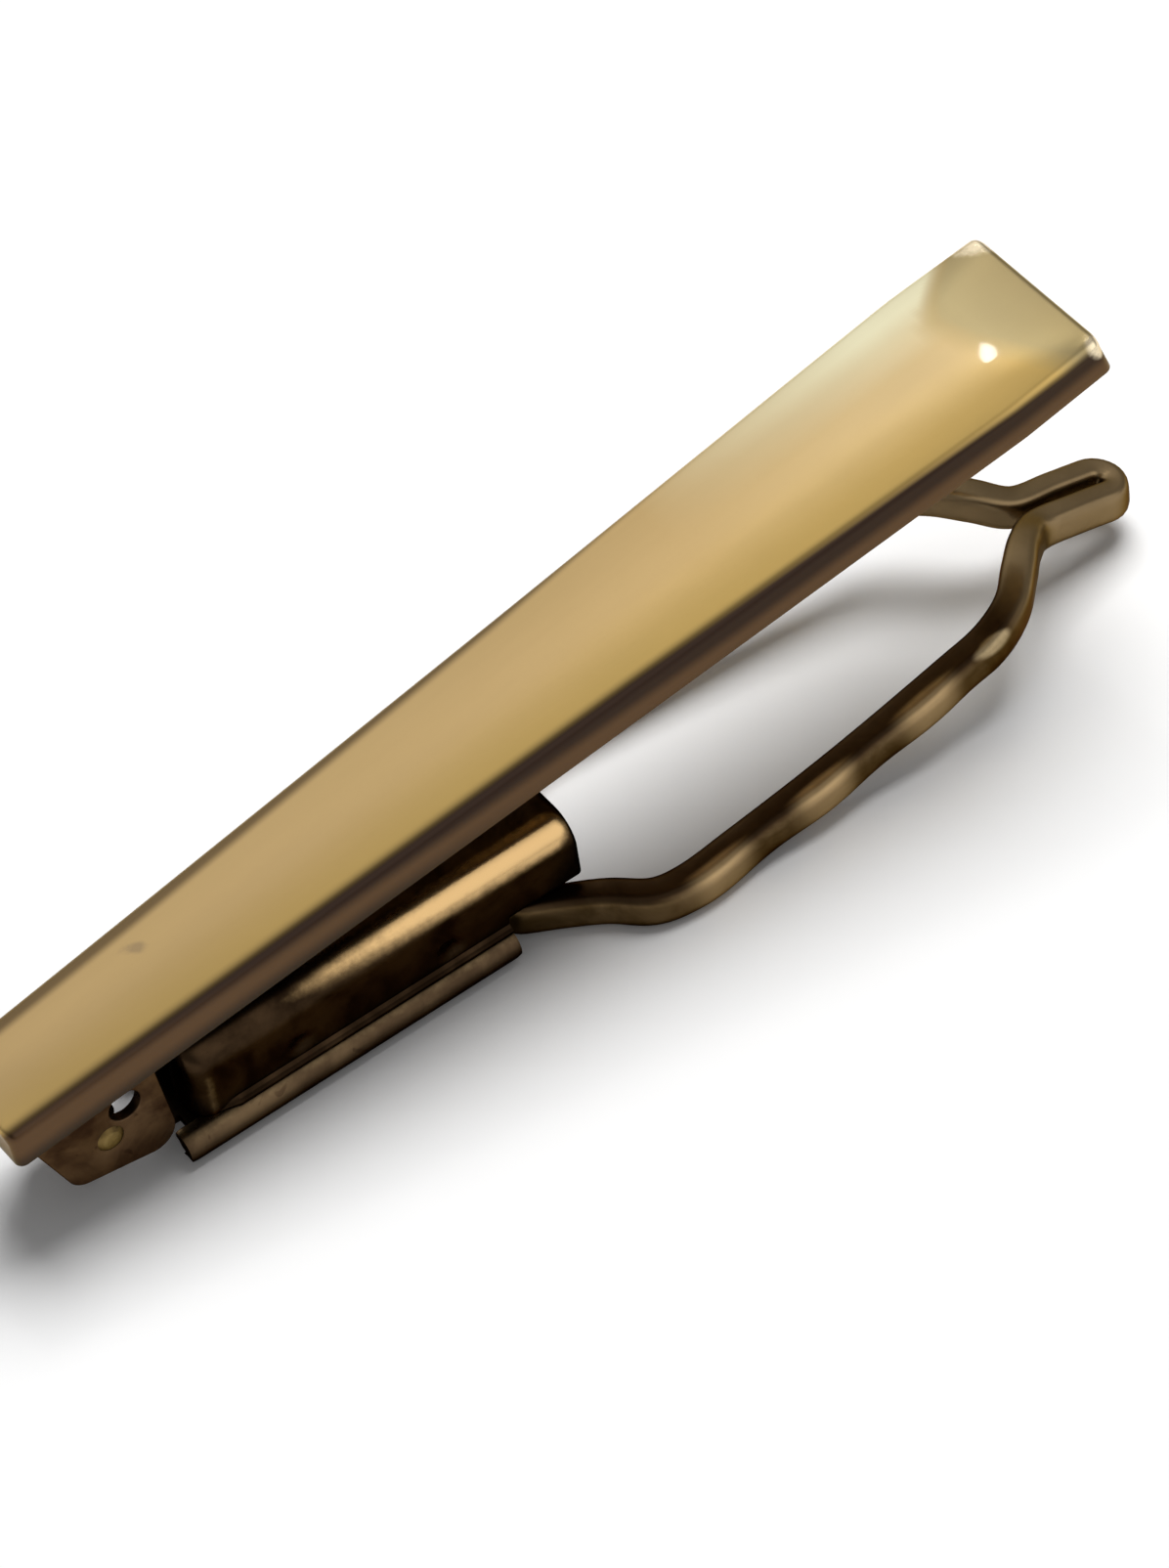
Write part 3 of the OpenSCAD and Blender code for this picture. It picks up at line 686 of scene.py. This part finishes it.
def bent_strip(line, half, thick_in, thick_out):
    """A strip that follows a line in X and Z, with its sheet between two offsets."""
    verts, faces = [], []
    for k, (x, z) in enumerate(line):
        a, b = line[max(k - 1, 0)], line[min(k + 1, len(line) - 1)]
        way = Vector((b[0] - a[0], b[1] - a[1])).normalized()
        for y in (-half, half):
            for off in (thick_in, thick_out):
                verts.append((x - way.y * off, y, z + way.x * off))
    for k in range(len(line) - 1):
        i, j = 4 * k, 4 * k + 4
        faces += [[i, i + 1, j + 1, j], [i + 2, j + 2, j + 3, i + 3], [i, j, j + 2, i + 2],
                  [i + 1, i + 3, j + 3, j + 1]]
    last = 4 * (len(line) - 1)
    return verts, faces + [[0, 2, 3, 1], [last, last + 1, last + 3, last + 2]]


floor_plate = block((FLOOR_START, -ROLL_Y, 0), (TRAY_END - 0.03, ROLL_Y, TRAY_SHEET))
tongue_line = [(FLOOR_START, TRAY_SHEET / 2), (TONGUE_BEND - BARREL_R, TRAY_SHEET / 2)]
tongue_line += arc((TONGUE_BEND - BARREL_R, TONGUE_BEND), TONGUE_BEND - TRAY_SHEET / 2,
                   270, 180, 14)[1:]
tongue_line += [(-BARREL_R + TRAY_SHEET / 2, PIN_HEIGHT)]
tongue = bent_strip(tongue_line, TONGUE_HALF, -TRAY_SHEET / 2, TRAY_SHEET / 2)
barrel_side = [(BARREL_BORE, -BARREL_REACH), (BARREL_R - BARREL_EDGE, -BARREL_REACH),
               (BARREL_R, BARREL_EDGE - BARREL_REACH)]
barrel_profile = barrel_side + [(r, -y) for r, y in reversed(barrel_side)] + barrel_side[:1]
barrel_verts, barrel_faces = turned(barrel_profile, 64)
barrel = ([(x, y, z + PIN_HEIGHT) for x, y, z in barrel_verts], barrel_faces)
# The rolled edges are pinched shut at their ends.
pinch_profile = [(0.0, -0.5), (0.25, -0.49), (0.42, -0.45), (0.53, -0.36), (0.585, -0.22),
                 (0.585, 0.2), (0.0, 0.2)]
pinch_verts, pinch_faces = turned(pinch_profile, 28)
pinches = [([(x + way * (y + PINCH_IN), side * ROLL_Y + z, ROLL_R + w)
             for z, y, w in pinch_verts], pinch_faces)
           for x, way in ((TRAY_START, 1), (TRAY_END, -1)) for side in (-1, 1)]
verts, faces = gather(rolled_edge(-1), rolled_edge(1), floor_plate, tongue, barrel, *pinches)
tray = solid_object("base_tray_folded", [lever_to_row(p) for p in verts], faces, sharp=34)


def outer_edge(p):
    """The rolls' upper sides, where fingers rub them; their lighter tone is partly a painted
    highlight.
    """
    return max(0.0, (p[2] / MM - 0.75) / 0.9)


# Rubbed brass on the rolls' upper sides, partly a painted highlight.
paint(tray, "wear_and_sheen", outer_edge)
# Painted shade: the rolls darken towards the table.
paint(tray, "low_side", lambda p: (0.95 - p[2] / MM) / 0.8)
tray.data.materials.append(aged("tray_bronze", "614F39", "433425", "806C4E", scale=0.8,
                                rough=(0.28, 0.42), low_shade="2A1E14"))
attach(tray, "lever")
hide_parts("base_tray")


# Spring hood
# A pressed cover over the leaf spring, seated on the rolled edges. Its long upper edges are well
# rounded and carry a painted highlight, and its flat sides are dark.
HOOD_START, HOOD_END, HOOD_HALF, HOOD_TOP, HOOD_SHEET = 3.2, 19.4, 2.2, 4.6, 0.4
HOOD_FOOT, STEP_FOOT, HOOD_R = 1.30, 1.86, 1.1
LEFT_CORNER_R, RIGHT_CORNER_R, HOOD_END_R = 0.8, 0.25, 0.55
FLANGE_REACH, FLANGE_HEIGHT = 0.24, 0.3
STAKES, STAKE_Z = [HOOD_START + 4.3, HOOD_START + 10.6], 2.1
STAKE_R, STAKE_DEPTH = 0.45, 0.05
SLOT_HALF, SLOT_TOP = 0.75, HOOD_TOP - 0.35
WALL_STEPS, ROUND_STEPS, TOP_STEPS = 13, 14, 4


def hood_ring(x, grow=0.0):
    """A section of the hood at x, shrunk inwards by grow for its inner side."""
    half = HOOD_HALF - grow - round_off(x - HOOD_START - grow, LEFT_CORNER_R - grow)
    half -= round_off(HOOD_END - grow - x, max(RIGHT_CORNER_R - grow, 0.05))
    top = HOOD_TOP - grow - round_off(HOOD_END - grow - x, HOOD_END_R - grow)
    r = min(HOOD_R - grow, half)
    foot = HOOD_FOOT if x < TRAY_END else STEP_FOOT
    ring = [(x, half, foot + (top - r - foot) * k / WALL_STEPS) for k in range(WALL_STEPS)]
    ring += [(x, half - r + r * cos(a), top - r + r * sin(a))
             for a in [pi / 2 * k / ROUND_STEPS for k in range(ROUND_STEPS + 1)]]
    ring += [(x, (half - r) * (1 - k / TOP_STEPS), top) for k in range(1, TOP_STEPS + 1)]
    return ring + mirrored(ring[:-1])


def hood_rings(xs, grow=0.0):
    """Sections at these places, with two close together where the foot steps up."""
    xs = [x for x in xs if abs(x - TRAY_END) > 0.05] + [TRAY_END - 0.02, TRAY_END + 0.02]
    return [hood_ring(x, grow) for x in sorted(xs)]


def hood_shell():
    """The outer and inner skins, joined at the foot and round the leaf spring's slot."""
    xs = crowded(HOOD_START, HOOD_END, 70, LEFT_CORNER_R, 9)
    xs += [HOOD_END - RIGHT_CORNER_R * (1 - cos(pi / 2 * k / 6)) for k in range(1, 6)]
    outer = hood_rings(xs)
    inner = hood_rings(np.linspace(HOOD_START + HOOD_SHEET, HOOD_END - HOOD_SHEET, 60), HOOD_SHEET)
    n = len(outer[0])
    verts = [p for ring in outer + inner for p in ring]
    start, count = len(outer) * n, len(verts)
    out_end, in_end = start - n, count - n
    faces = loft(outer, capped=False) + loft(inner, start, capped=False)
    # The ends are closed across the middle, around the slot at the left end.
    slot = {}
    for first, slotted in ((0, True), (out_end, False), (start, True), (in_end, False)):
        for k in range(n // 2):
            a, b, c, d = first + k, first + k + 1, first + n - 2 - k, first + n - 1 - k
            if slotted and verts[b][2] <= SLOT_TOP and verts[b][1] > SLOT_HALF:
                for i in (a, b, c, d):
                    if i not in slot:
                        slot[i] = len(verts)
                        side = 1 if verts[i][1] > 0 else -1
                        verts.append((verts[i][0], side * SLOT_HALF, verts[i][2]))
                faces += [[a, b, slot[b], slot[a]], [d, c, slot[c], slot[d]]]
            elif slotted and a in slot:
                faces.append([a, b, c, d, slot[d], slot[a]])
            else:
                faces.append([a, b, c, d])
    # The slot's walls, and then the foot: it steps up at the tray's end.
    rows = [k for k in range(n // 2) if k in slot]
    for k, m in zip(rows, rows[1:]):
        for a, b in ((k, m), (n - 1 - k, n - 1 - m)):
            faces.append([slot[a], slot[b], slot[start + b], slot[start + a]])
    near, far = rows[-1], n - 1 - rows[-1]
    faces.append([slot[near], slot[far], slot[start + far], slot[start + near]])
    for side in (0, n - 1):
        out_line = list(range(side, start, n))
        in_line = list(range(start + side, count, n))
        split_out = [i for i in out_line if verts[i][0] < TRAY_END]
        split_in = [i for i in in_line if verts[i][0] < TRAY_END]
        rest_out, rest_in = out_line[len(split_out):], in_line[len(split_in):]
        faces += [split_out + split_in[::-1], rest_out + rest_in[::-1],
                  [split_out[-1], rest_out[0], rest_in[0], split_in[-1]],
                  [out_line[0], slot[out_line[0]], slot[in_line[0]], in_line[0]]]
    return verts, faces + [[out_end, out_end + n - 1, in_end + n - 1, in_end]]


def foot_flange(side):
    """The small foot turned out along the rolled edge, thin where it starts."""
    low = HOOD_HALF - 0.1
    corners = [(low, HOOD_FOOT), (HOOD_HALF + FLANGE_REACH, HOOD_FOOT),
               (HOOD_HALF + FLANGE_REACH, HOOD_FOOT + 0.12), (HOOD_HALF + 0.12, HOOD_FOOT + 0.17),
               (HOOD_HALF + 0.03, HOOD_FOOT + FLANGE_HEIGHT), (low, HOOD_FOOT + FLANGE_HEIGHT)]
    start, n = HOOD_START + LEFT_CORNER_R, len(corners)
    verts = [(x, side * (low + (y - low) * size), HOOD_FOOT + (z - HOOD_FOOT) * size)
             for x, size in ((start, 0.25), (start + 0.8, 1.0), (TRAY_END - 0.02, 1.0))
             for y, z in corners]
    return verts, tube(3, n) + [list(range(n)), list(range(2 * n, 3 * n))]


verts, faces = gather(hood_shell(), foot_flange(-1), foot_flange(1))
# Two shallow staking dents on each side.
for k, (x, y, z) in enumerate(verts):
    for stake in STAKES:
        reach = sqrt((x - stake) ** 2 + (z - STAKE_Z) ** 2)
        if reach < STAKE_R and abs(abs(y) - HOOD_HALF) < 0.01:
            verts[k] = (x, y * (1 - STAKE_DEPTH * (1 - (reach / STAKE_R) ** 2)), z)
hood = solid_object("spring_hood_pressed", [lever_to_row(p) for p in verts], faces, bevel=0.05)


def hood_edge_highlight(p):
    """A painted highlight along the upper edges, most at the right end, and a fainter painted
    reflection at the left corner.
    """
    x, y, z = p[0] / MM - PIVOT_X, abs(p[1]) / MM, p[2] / MM
    turned_in = np.degrees(np.arctan2(z - (HOOD_TOP - HOOD_R), max(y - (HOOD_HALF - HOOD_R), 1e-3)))
    band = 1.15 - abs(turned_in - 44) / 52 if z > HOOD_TOP - HOOD_R - 0.05 else 0
    band *= np.interp(x, (5.5, 9, 14, 18.6, 19.3), (0.1, 0.5, 0.85, 1.1, 0.3))
    return max(band, 0.45 - abs(x - 3.9) / 1.6 - max(z - 3.2, 0) / 1.2)


paint(hood, "wear_and_sheen", hood_edge_highlight)
# The light colour is the painted highlight of the rounded edges.
hood.data.materials.append(aged("hood_bronze", "3C2D1E", "1F150C", "CBA874", rough=(0.24, 0.36),
                                ragged=0.22))
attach(hood, "lever")
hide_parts("spring_hood")


# Jaw wire
# One length of brass wire, rolled flat and bent into a long loop. Its legs run into the box, and
# its nose is pinched to a slot. The rails have hammered bulges with painted highlights, and the
# shoulder that presses on the tie is rubbed bright, partly as a painted highlight. The rails' tops
# carry painted shade and the nose's top painted light.
LEG_Y, LEG_Z, REST_Z, PEAK_Z = 1.255, 1.09, 0.75, 3.51
HEEL_Y, RAIL_Y, NOSE_Y, NOSE_REACH = 4.25, 4.05, 0.695, 43.8
WIRE_W, RAIL_W, NOSE_W, NOSE_DROP = 0.95, 1.3, 1.05, 1.68


def mix(a, b, t):
    """The value between a and b, a part t of the way."""
    return a + (b - a) * t


wire_route = [
    (9.4, LEG_Y, LEG_Z, WIRE_W), (12.4, LEG_Y, LEG_Z, WIRE_W), (16.0, LEG_Y, LEG_Z, WIRE_W),
    (17.2, mix(LEG_Y, HEEL_Y, 0.14), mix(LEG_Z, REST_Z, 0.5), mix(WIRE_W, RAIL_W, 0.6)),
    (18.4, mix(LEG_Y, HEEL_Y, 0.33), mix(LEG_Z, REST_Z, 0.8), mix(WIRE_W, RAIL_W, 0.8)),
    (19.7, mix(LEG_Y, HEEL_Y, 0.6), REST_Z + 0.03, RAIL_W),
    (20.9, HEEL_Y - 0.16, REST_Z, RAIL_W + 0.08), (22.3, HEEL_Y + 0.1, REST_Z, RAIL_W + 0.06),
    (24.4, HEEL_Y, mix(REST_Z, PEAK_Z, 0.05), RAIL_W),
    (27.6, mix(HEEL_Y, RAIL_Y, 0.4), mix(REST_Z, PEAK_Z, 0.18), RAIL_W),
    (30.6, mix(HEEL_Y, RAIL_Y, 0.7), mix(REST_Z, PEAK_Z, 0.36), RAIL_W),
    (34, RAIL_Y, mix(REST_Z, PEAK_Z, 0.62), RAIL_W),
    (35.8, RAIL_Y, mix(REST_Z, PEAK_Z, 0.79), RAIL_W + 0.04),
    (37.2, mix(NOSE_Y, RAIL_Y, 0.87), mix(REST_Z, PEAK_Z, 0.95), RAIL_W - 0.02),
    (38.35, mix(NOSE_Y, RAIL_Y, 0.57), PEAK_Z, RAIL_W),
    (39.45, mix(NOSE_Y, RAIL_Y, 0.25), PEAK_Z - 0.3, RAIL_W - 0.08),
    (40.6, NOSE_Y + 0.05, PEAK_Z - 0.85, mix(NOSE_W, RAIL_W, 0.3)),
    (42.3, NOSE_Y, PEAK_Z - 1.27, NOSE_W), (NOSE_REACH, NOSE_Y, PEAK_Z - NOSE_DROP, NOSE_W)]


def smooth_route(points, count=10):
    """Runs a smooth curve through all the stations."""
    p = np.array(points, float)
    line = []
    for i in range(len(p) - 1):
        a, b, c, d = p[max(i - 1, 0)], p[i], p[i + 1], p[min(i + 2, len(p) - 1)]
        for t in [k / count for k in range(count)]:
            line.append(0.5 * (2 * b + (c - a) * t + (2 * a - 5 * b + 4 * c - d) * t * t
                               + (3 * b - a - 3 * c + d) * t ** 3))
    return line + [p[-1]]


side_line = [tuple(p) for p in smooth_route(wire_route)]
bend_line = [(NOSE_REACH + NOSE_Y * cos(a), NOSE_Y * sin(a),
              PEAK_Z - NOSE_DROP - 0.25 * NOSE_Y * cos(a), NOSE_W)
             for a in [pi / 2 - pi * k / 24 for k in range(1, 24)]]
wire_line = side_line + bend_line + mirrored(side_line)
route = bpy.data.curves.new("jaw_wire_route", "CURVE")
route.dimensions = "3D"
spline = route.splines.new("POLY")
spline.points.add(len(wire_line) - 1)
for point, (x, y, z, width) in zip(spline.points, wire_line):
    point.co = (*lever_to_row((x, y, z)), 1)
    point.radius = 0.98 * width / 2 * MM
jaw_route = add_object("jaw_wire_bent", route)


class Network(Nodes):
    """A geometry node tree whose sizes are inputs of the modifier."""

    def __init__(self, name, sizes):
        super().__init__(bpy.data.node_groups.new(name, "GeometryNodeTree"))
        face = self.tree.interface
        face.new_socket("Geometry", in_out="INPUT", socket_type="NodeSocketGeometry")
        face.new_socket("Geometry", in_out="OUTPUT", socket_type="NodeSocketGeometry")
        self.sockets = {}
        for label, value in sizes.items():
            socket = face.new_socket(label, in_out="INPUT", socket_type="NodeSocketFloat")
            socket.default_value = value
            self.sockets[label] = socket.identifier
        self.sizes = self.node("NodeGroupInput").outputs

    def vector(self, how, a, b=(0, 0, 0)):
        return self.node("ShaderNodeVectorMath", {0: a, 1: b}, operation=how).outputs[0]

    def scaled(self, a, amount):
        return self.node("ShaderNodeVectorMath", {0: a, "Scale": amount},
                         operation="SCALE").outputs[0]


sizes = {"Ring spacing": 0.16 * MM, "Wire height": 1.47 * MM, "Softness": 0.52,
         "Bulge depth": 0.135 * MM, "Bulge pitch": 4.7 * MM, "First bulge": (23.3 + PIVOT_X) * MM,
         "Rail side": RAIL_Y * 0.8 * MM}
net = Network("flattened_wire", sizes)
size = net.sizes
even = net.node("GeometryNodeResampleCurve",
                {"Curve": size["Geometry"], "Length": size["Ring spacing"]}, mode="LENGTH")
keep = net.node("GeometryNodeCaptureAttribute", {"Geometry": even.outputs[0]}, domain="POINT")
for kind, label, source in (("VECTOR", "Centre", "Position"), ("VECTOR", "Way", "Tangent"),
                            ("FLOAT", "Half width", "Radius")):
    keep.capture_items.new(kind, label)
    net.give(keep, {label: net.node("GeometryNodeInput" + source).outputs[0]})
circle = net.node("GeometryNodeCurvePrimitiveCircle", {"Resolution": 40, "Radius": 1.0},
                  mode="RADIUS")
turn_at = net.node("GeometryNodeCaptureAttribute", {"Geometry": circle.outputs[0]}, domain="POINT")
turn_at.capture_items.new("VECTOR", "Turn")
net.give(turn_at, {"Turn": net.node("GeometryNodeInputPosition").outputs[0]})
swept = net.node("GeometryNodeCurveToMesh", {"Curve": keep.outputs[0],
                                             "Profile Curve": turn_at.outputs[0],
                                             "Fill Caps": True})
outward = net.vector("NORMALIZE", net.vector("CROSS_PRODUCT", (0, 0, 1), keep.outputs["Way"]))
upward = net.vector("CROSS_PRODUCT", keep.outputs["Way"], outward)
section = net.node("ShaderNodeSeparateXYZ", {0: turn_at.outputs["Turn"]})
place = net.node("ShaderNodeSeparateXYZ", {0: keep.outputs["Centre"]})


def squared(value):
    """Bends a circle's cosine or sine towards a soft square."""
    return net.times(net.math("SIGN", value),
                     net.math("POWER", net.math("ABSOLUTE", value), size["Softness"]))


# The bulges swell the outer side of the rails only, one pitch apart.
count = net.math("DIVIDE", net.math("SUBTRACT", place.outputs["X"], size["First bulge"]),
                 size["Bulge pitch"])
offset = net.math("SUBTRACT", count, net.math("ROUND", count))
swell = net.math("POWER", net.math("COSINE", net.times(offset, pi)), 2.0)
rail = net.math("GREATER_THAN", net.math("ABSOLUTE", place.outputs["Y"]), size["Rail side"])
within = net.times(net.math("GREATER_THAN", count, -0.5), net.math("LESS_THAN", count, 2.6))
within = net.times(net.times(within, rail), net.math("GREATER_THAN", section.outputs["X"], 0.0))
swell = net.times(swell, within)
half_width = net.math("ADD", keep.outputs["Half width"], net.times(swell, size["Bulge depth"]))
sideways = net.times(squared(section.outputs["X"]), half_width)
rise = net.times(squared(section.outputs["Y"]), net.times(size["Wire height"], 0.5))
spot = net.vector("ADD", keep.outputs["Centre"],
                  net.vector("ADD", net.scaled(outward, sideways), net.scaled(upward, rise)))
placed = net.node("GeometryNodeSetPosition", {"Geometry": swept.outputs[0], "Position": spot})
marked = placed.outputs[0]
for label, value in (("bulge", swell), ("upper", section.outputs["Y"])):
    marked = net.node("GeometryNodeStoreNamedAttribute",
                      {"Geometry": marked, "Name": label, "Value": value},
                      data_type="FLOAT", domain="POINT").outputs[0]
real = net.node("GeometryNodeRealizeInstances", {"Geometry": marked})
bronze = Finish("wire_bronze")
coated = net.node("GeometryNodeSetMaterial", {"Geometry": real.outputs[0],
                                              "Material": bronze.material})
net.node("NodeGroupOutput", {"Geometry": coated.outputs[0]})

bend = jaw_route.modifiers.new("flattened wire", "NODES")
bend.node_group = net.tree
for label, identifier in net.sockets.items():
    bend[identifier] = sizes[label]
wire_mesh = settled(jaw_route)
bpy.data.objects.remove(jaw_route)
shape = bmesh.new()
shape.from_mesh(wire_mesh)
close_up(shape, wire_mesh)
shade_smooth(wire_mesh, 60)
jaw_wire = add_object("jaw_wire_loop", wire_mesh)


def shoulder_rub_and_sheen(p):
    """The bright spot on the shoulder, rubbed brass and partly a painted highlight, and its twin on
    the far side.
    """
    x, y, z = p[0] / MM - PIVOT_X, abs(p[1]) / MM, p[2] / MM
    reach = sqrt(((x - 35.5) / 1.3) ** 2 + ((y - 4.6) / 0.4) ** 2 + ((z - 3.6) / 0.7) ** 2)
    return 1.5 * (1 - reach)


paint(jaw_wire, "wear_and_sheen", shoulder_rub_and_sheen)
paint(jaw_wire, "nose_part", lambda p: (p[0] / MM - PIVOT_X - 36.2) / 2.0)
patches = bronze.noise(360, 4, 0.6, warp=0.4)
fine = bronze.noise(2400, 3, 0.65)
nose_part = bronze.stored("nose_part")
tone = bronze.blend_of(bronze.steps(patches, 0.35, 0.65), "705C40", "49381F")
tone = bronze.blend_of(bronze.scale_to(fine, 0.0, 0.25), tone, "40301F")
# Painted light: the nose's top is lighter.
tone = bronze.blend_of(bronze.times(nose_part, 0.6), tone, "9A8462")
# Painted shade: the rails' tops are darker, short of the nose.
upper = bronze.steps(bronze.stored("upper"), 0.35, 0.9)
upper = bronze.times(upper, bronze.math("SUBTRACT", 1.0, nose_part))
tone = bronze.blend_of(bronze.times(upper, 0.85), tone, "2E2015")
# Painted highlights on the outer bulges.
bulge = bronze.times(bronze.steps(bronze.stored("bulge"), 0.15, 1.0),
                     bronze.scale_to(patches, 0.1, 1.0))
tone = bronze.blend_of(bulge, tone, "C8AA7C")
# The shoulder's rubbed spot, partly a painted highlight.
rub_and_sheen = bronze.times(bronze.stored("wear_and_sheen"), bronze.scale_to(patches, 0.0, 1.9))
rub_and_sheen = bronze.times(bronze.steps(rub_and_sheen, 0.3, 0.9), bronze.scale_to(fine, 0.4, 1.0))
tone = bronze.blend_of(rub_and_sheen, tone, "B5A07A")
bronze.bumps((patches, 0.25, 0.06), (fine, 0.18, 0.03))
bronze.metal(tone, bronze.scale_to(patches, 0.26, 0.42), edge="8A8074")
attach(jaw_wire, "lever")
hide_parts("jaw_wire")


# Leaf spring and rivets
# A strip of blued spring steel inside the box, and the two brass rivets that hold it
# on the wire's legs. Both keep their solids and get the finish of hidden metal.
steel = Finish("spring_steel")
streak = steel.noise(900, 3, 0.6, steel.drawn_out(along=0.1))
tone = steel.blend_of(streak, "6F675C", "4C443A")
tone = steel.blend_of(steel.steps(steel.noise(500, 4, 0.6), 0.55, 0.75), tone, "59483A")
steel.bumps((streak, 0.12, 0.02))
steel.metal(tone, steel.scale_to(streak, 0.28, 0.42))
brass = Finish("rivet_brass")
speckle = brass.noise(1800, 4, 0.6)
tone = brass.blend_of(speckle, "A58C5A", "6E5836")
brass.bumps((speckle, 0.2, 0.03))
brass.metal(tone, brass.scale_to(speckle, 0.3, 0.5))
for node, finish in (("leaf_spring", steel), ("rivets", brass)):
    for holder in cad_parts[node].material_slots:
        holder.material = finish.material


# Floor, lights and background
# A plain white table and a pale surround, with a soft lamp above the far side that
# lays the shadow towards the viewer, and a small bare lamp for the glint.
ROOM_LIGHT, KEY_POWER, GLINT_POWER = 0.20, 10.9, 0.11
TABLE = 3.0
table_mesh = bpy.data.meshes.new("table")
corners = [(x * TABLE, y * TABLE, 0) for x, y in ((-1, -1), (1, -1), (1, 1), (-1, 1))]
table_mesh.from_pydata(corners, [], [(0, 1, 2, 3)])
table = add_object("table", table_mesh)
table.location.z = -0.02 * MM
white = Finish("white_table")
speck = white.noise(90, 3, 0.6)
paper = white.blend_of(speck, (0.95, 0.95, 0.95, 1), (0.93, 0.93, 0.93, 1))
white.give(white.shader, {"Base Color": paper, "Roughness": 0.9, "Specular IOR Level": 0.05,
                          "Emission Color": (1, 1, 1, 1),
                          "Emission Strength": white.times(white.in_sight(), 0.03)})
table_mesh.materials.append(white.material)

# The metal sees a pale room, brighter behind the clip than over the viewer, and a
# window on the near side. All other surfaces get the plain even light of the room.
world = bpy.data.worlds.new("surround")
scene.world = world
world.use_nodes = True
room = Nodes(world.node_tree)
seen_way = room.node("ShaderNodeTexCoord").outputs["Generated"]


def glow_towards(direction, wide, narrow, strength):
    """Light that grows from one angle, in degrees, to another around a direction."""
    aim = room.node("ShaderNodeVectorMath", {0: seen_way, 1: Vector(direction).normalized()},
                    operation="DOT_PRODUCT")
    return room.node("ShaderNodeMapRange",
                     {"Value": aim.outputs["Value"], "From Min": cos(radians(wide)),
                      "From Max": cos(radians(narrow)), "To Max": strength},
                     interpolation_type="SMOOTHSTEP").outputs["Result"]


shine = room.math("ADD", glow_towards((-0.06, 0.52, 0.85), 60, 14, 0.37), 0.36)
shine = room.math("ADD", shine, glow_towards((0.10, 0.90, 0.45), 40, 10, 0.30))
shine = room.math("ADD", shine, glow_towards((0.32, -0.80, 0.50), 44, 6, 1.00))
level = room.times(room.math("SUBTRACT", shine, ROOM_LIGHT), room.in_sight())
room.give(room.tree.nodes["Background"], {"Strength": room.math("ADD", level, ROOM_LIGHT),
                                          "Color": (1, 1, 1, 1)})


def lamp(name, direction, distance, width, power, height=None, target=(0.012, 0, 0.005)):
    """A soft lamp that faces the clip."""
    data = bpy.data.lights.new(name, "AREA")
    data.shape = "ELLIPSE"
    data.size, data.size_y = width, width if height is None else height
    data.energy = power
    obj = add_object(name, data)
    way = Vector(direction).normalized()
    obj.location = Vector(target) + way * distance
    obj.rotation_euler = way.to_track_quat("Z", "Y").to_euler()
    return obj


key = lamp("key", (0.35, 0.30, 1.0), 1.0, 0.80, KEY_POWER)
key.visible_glossy = False
# The hip mirrors this long lamp, drawn short by the stronger curve, as a round spot.
facing = Vector((0.217, 0.531, 0.819)).normalized()
long_way = Vector((-0.533, -0.638, 0.555)).normalized()
glint = lamp("glint", facing, 0.6, 0.060, GLINT_POWER, 0.013, (0.0295, -0.00095, 0.0132))
glint.rotation_euler = Matrix((long_way, facing.cross(long_way), facing)).transposed().to_euler()
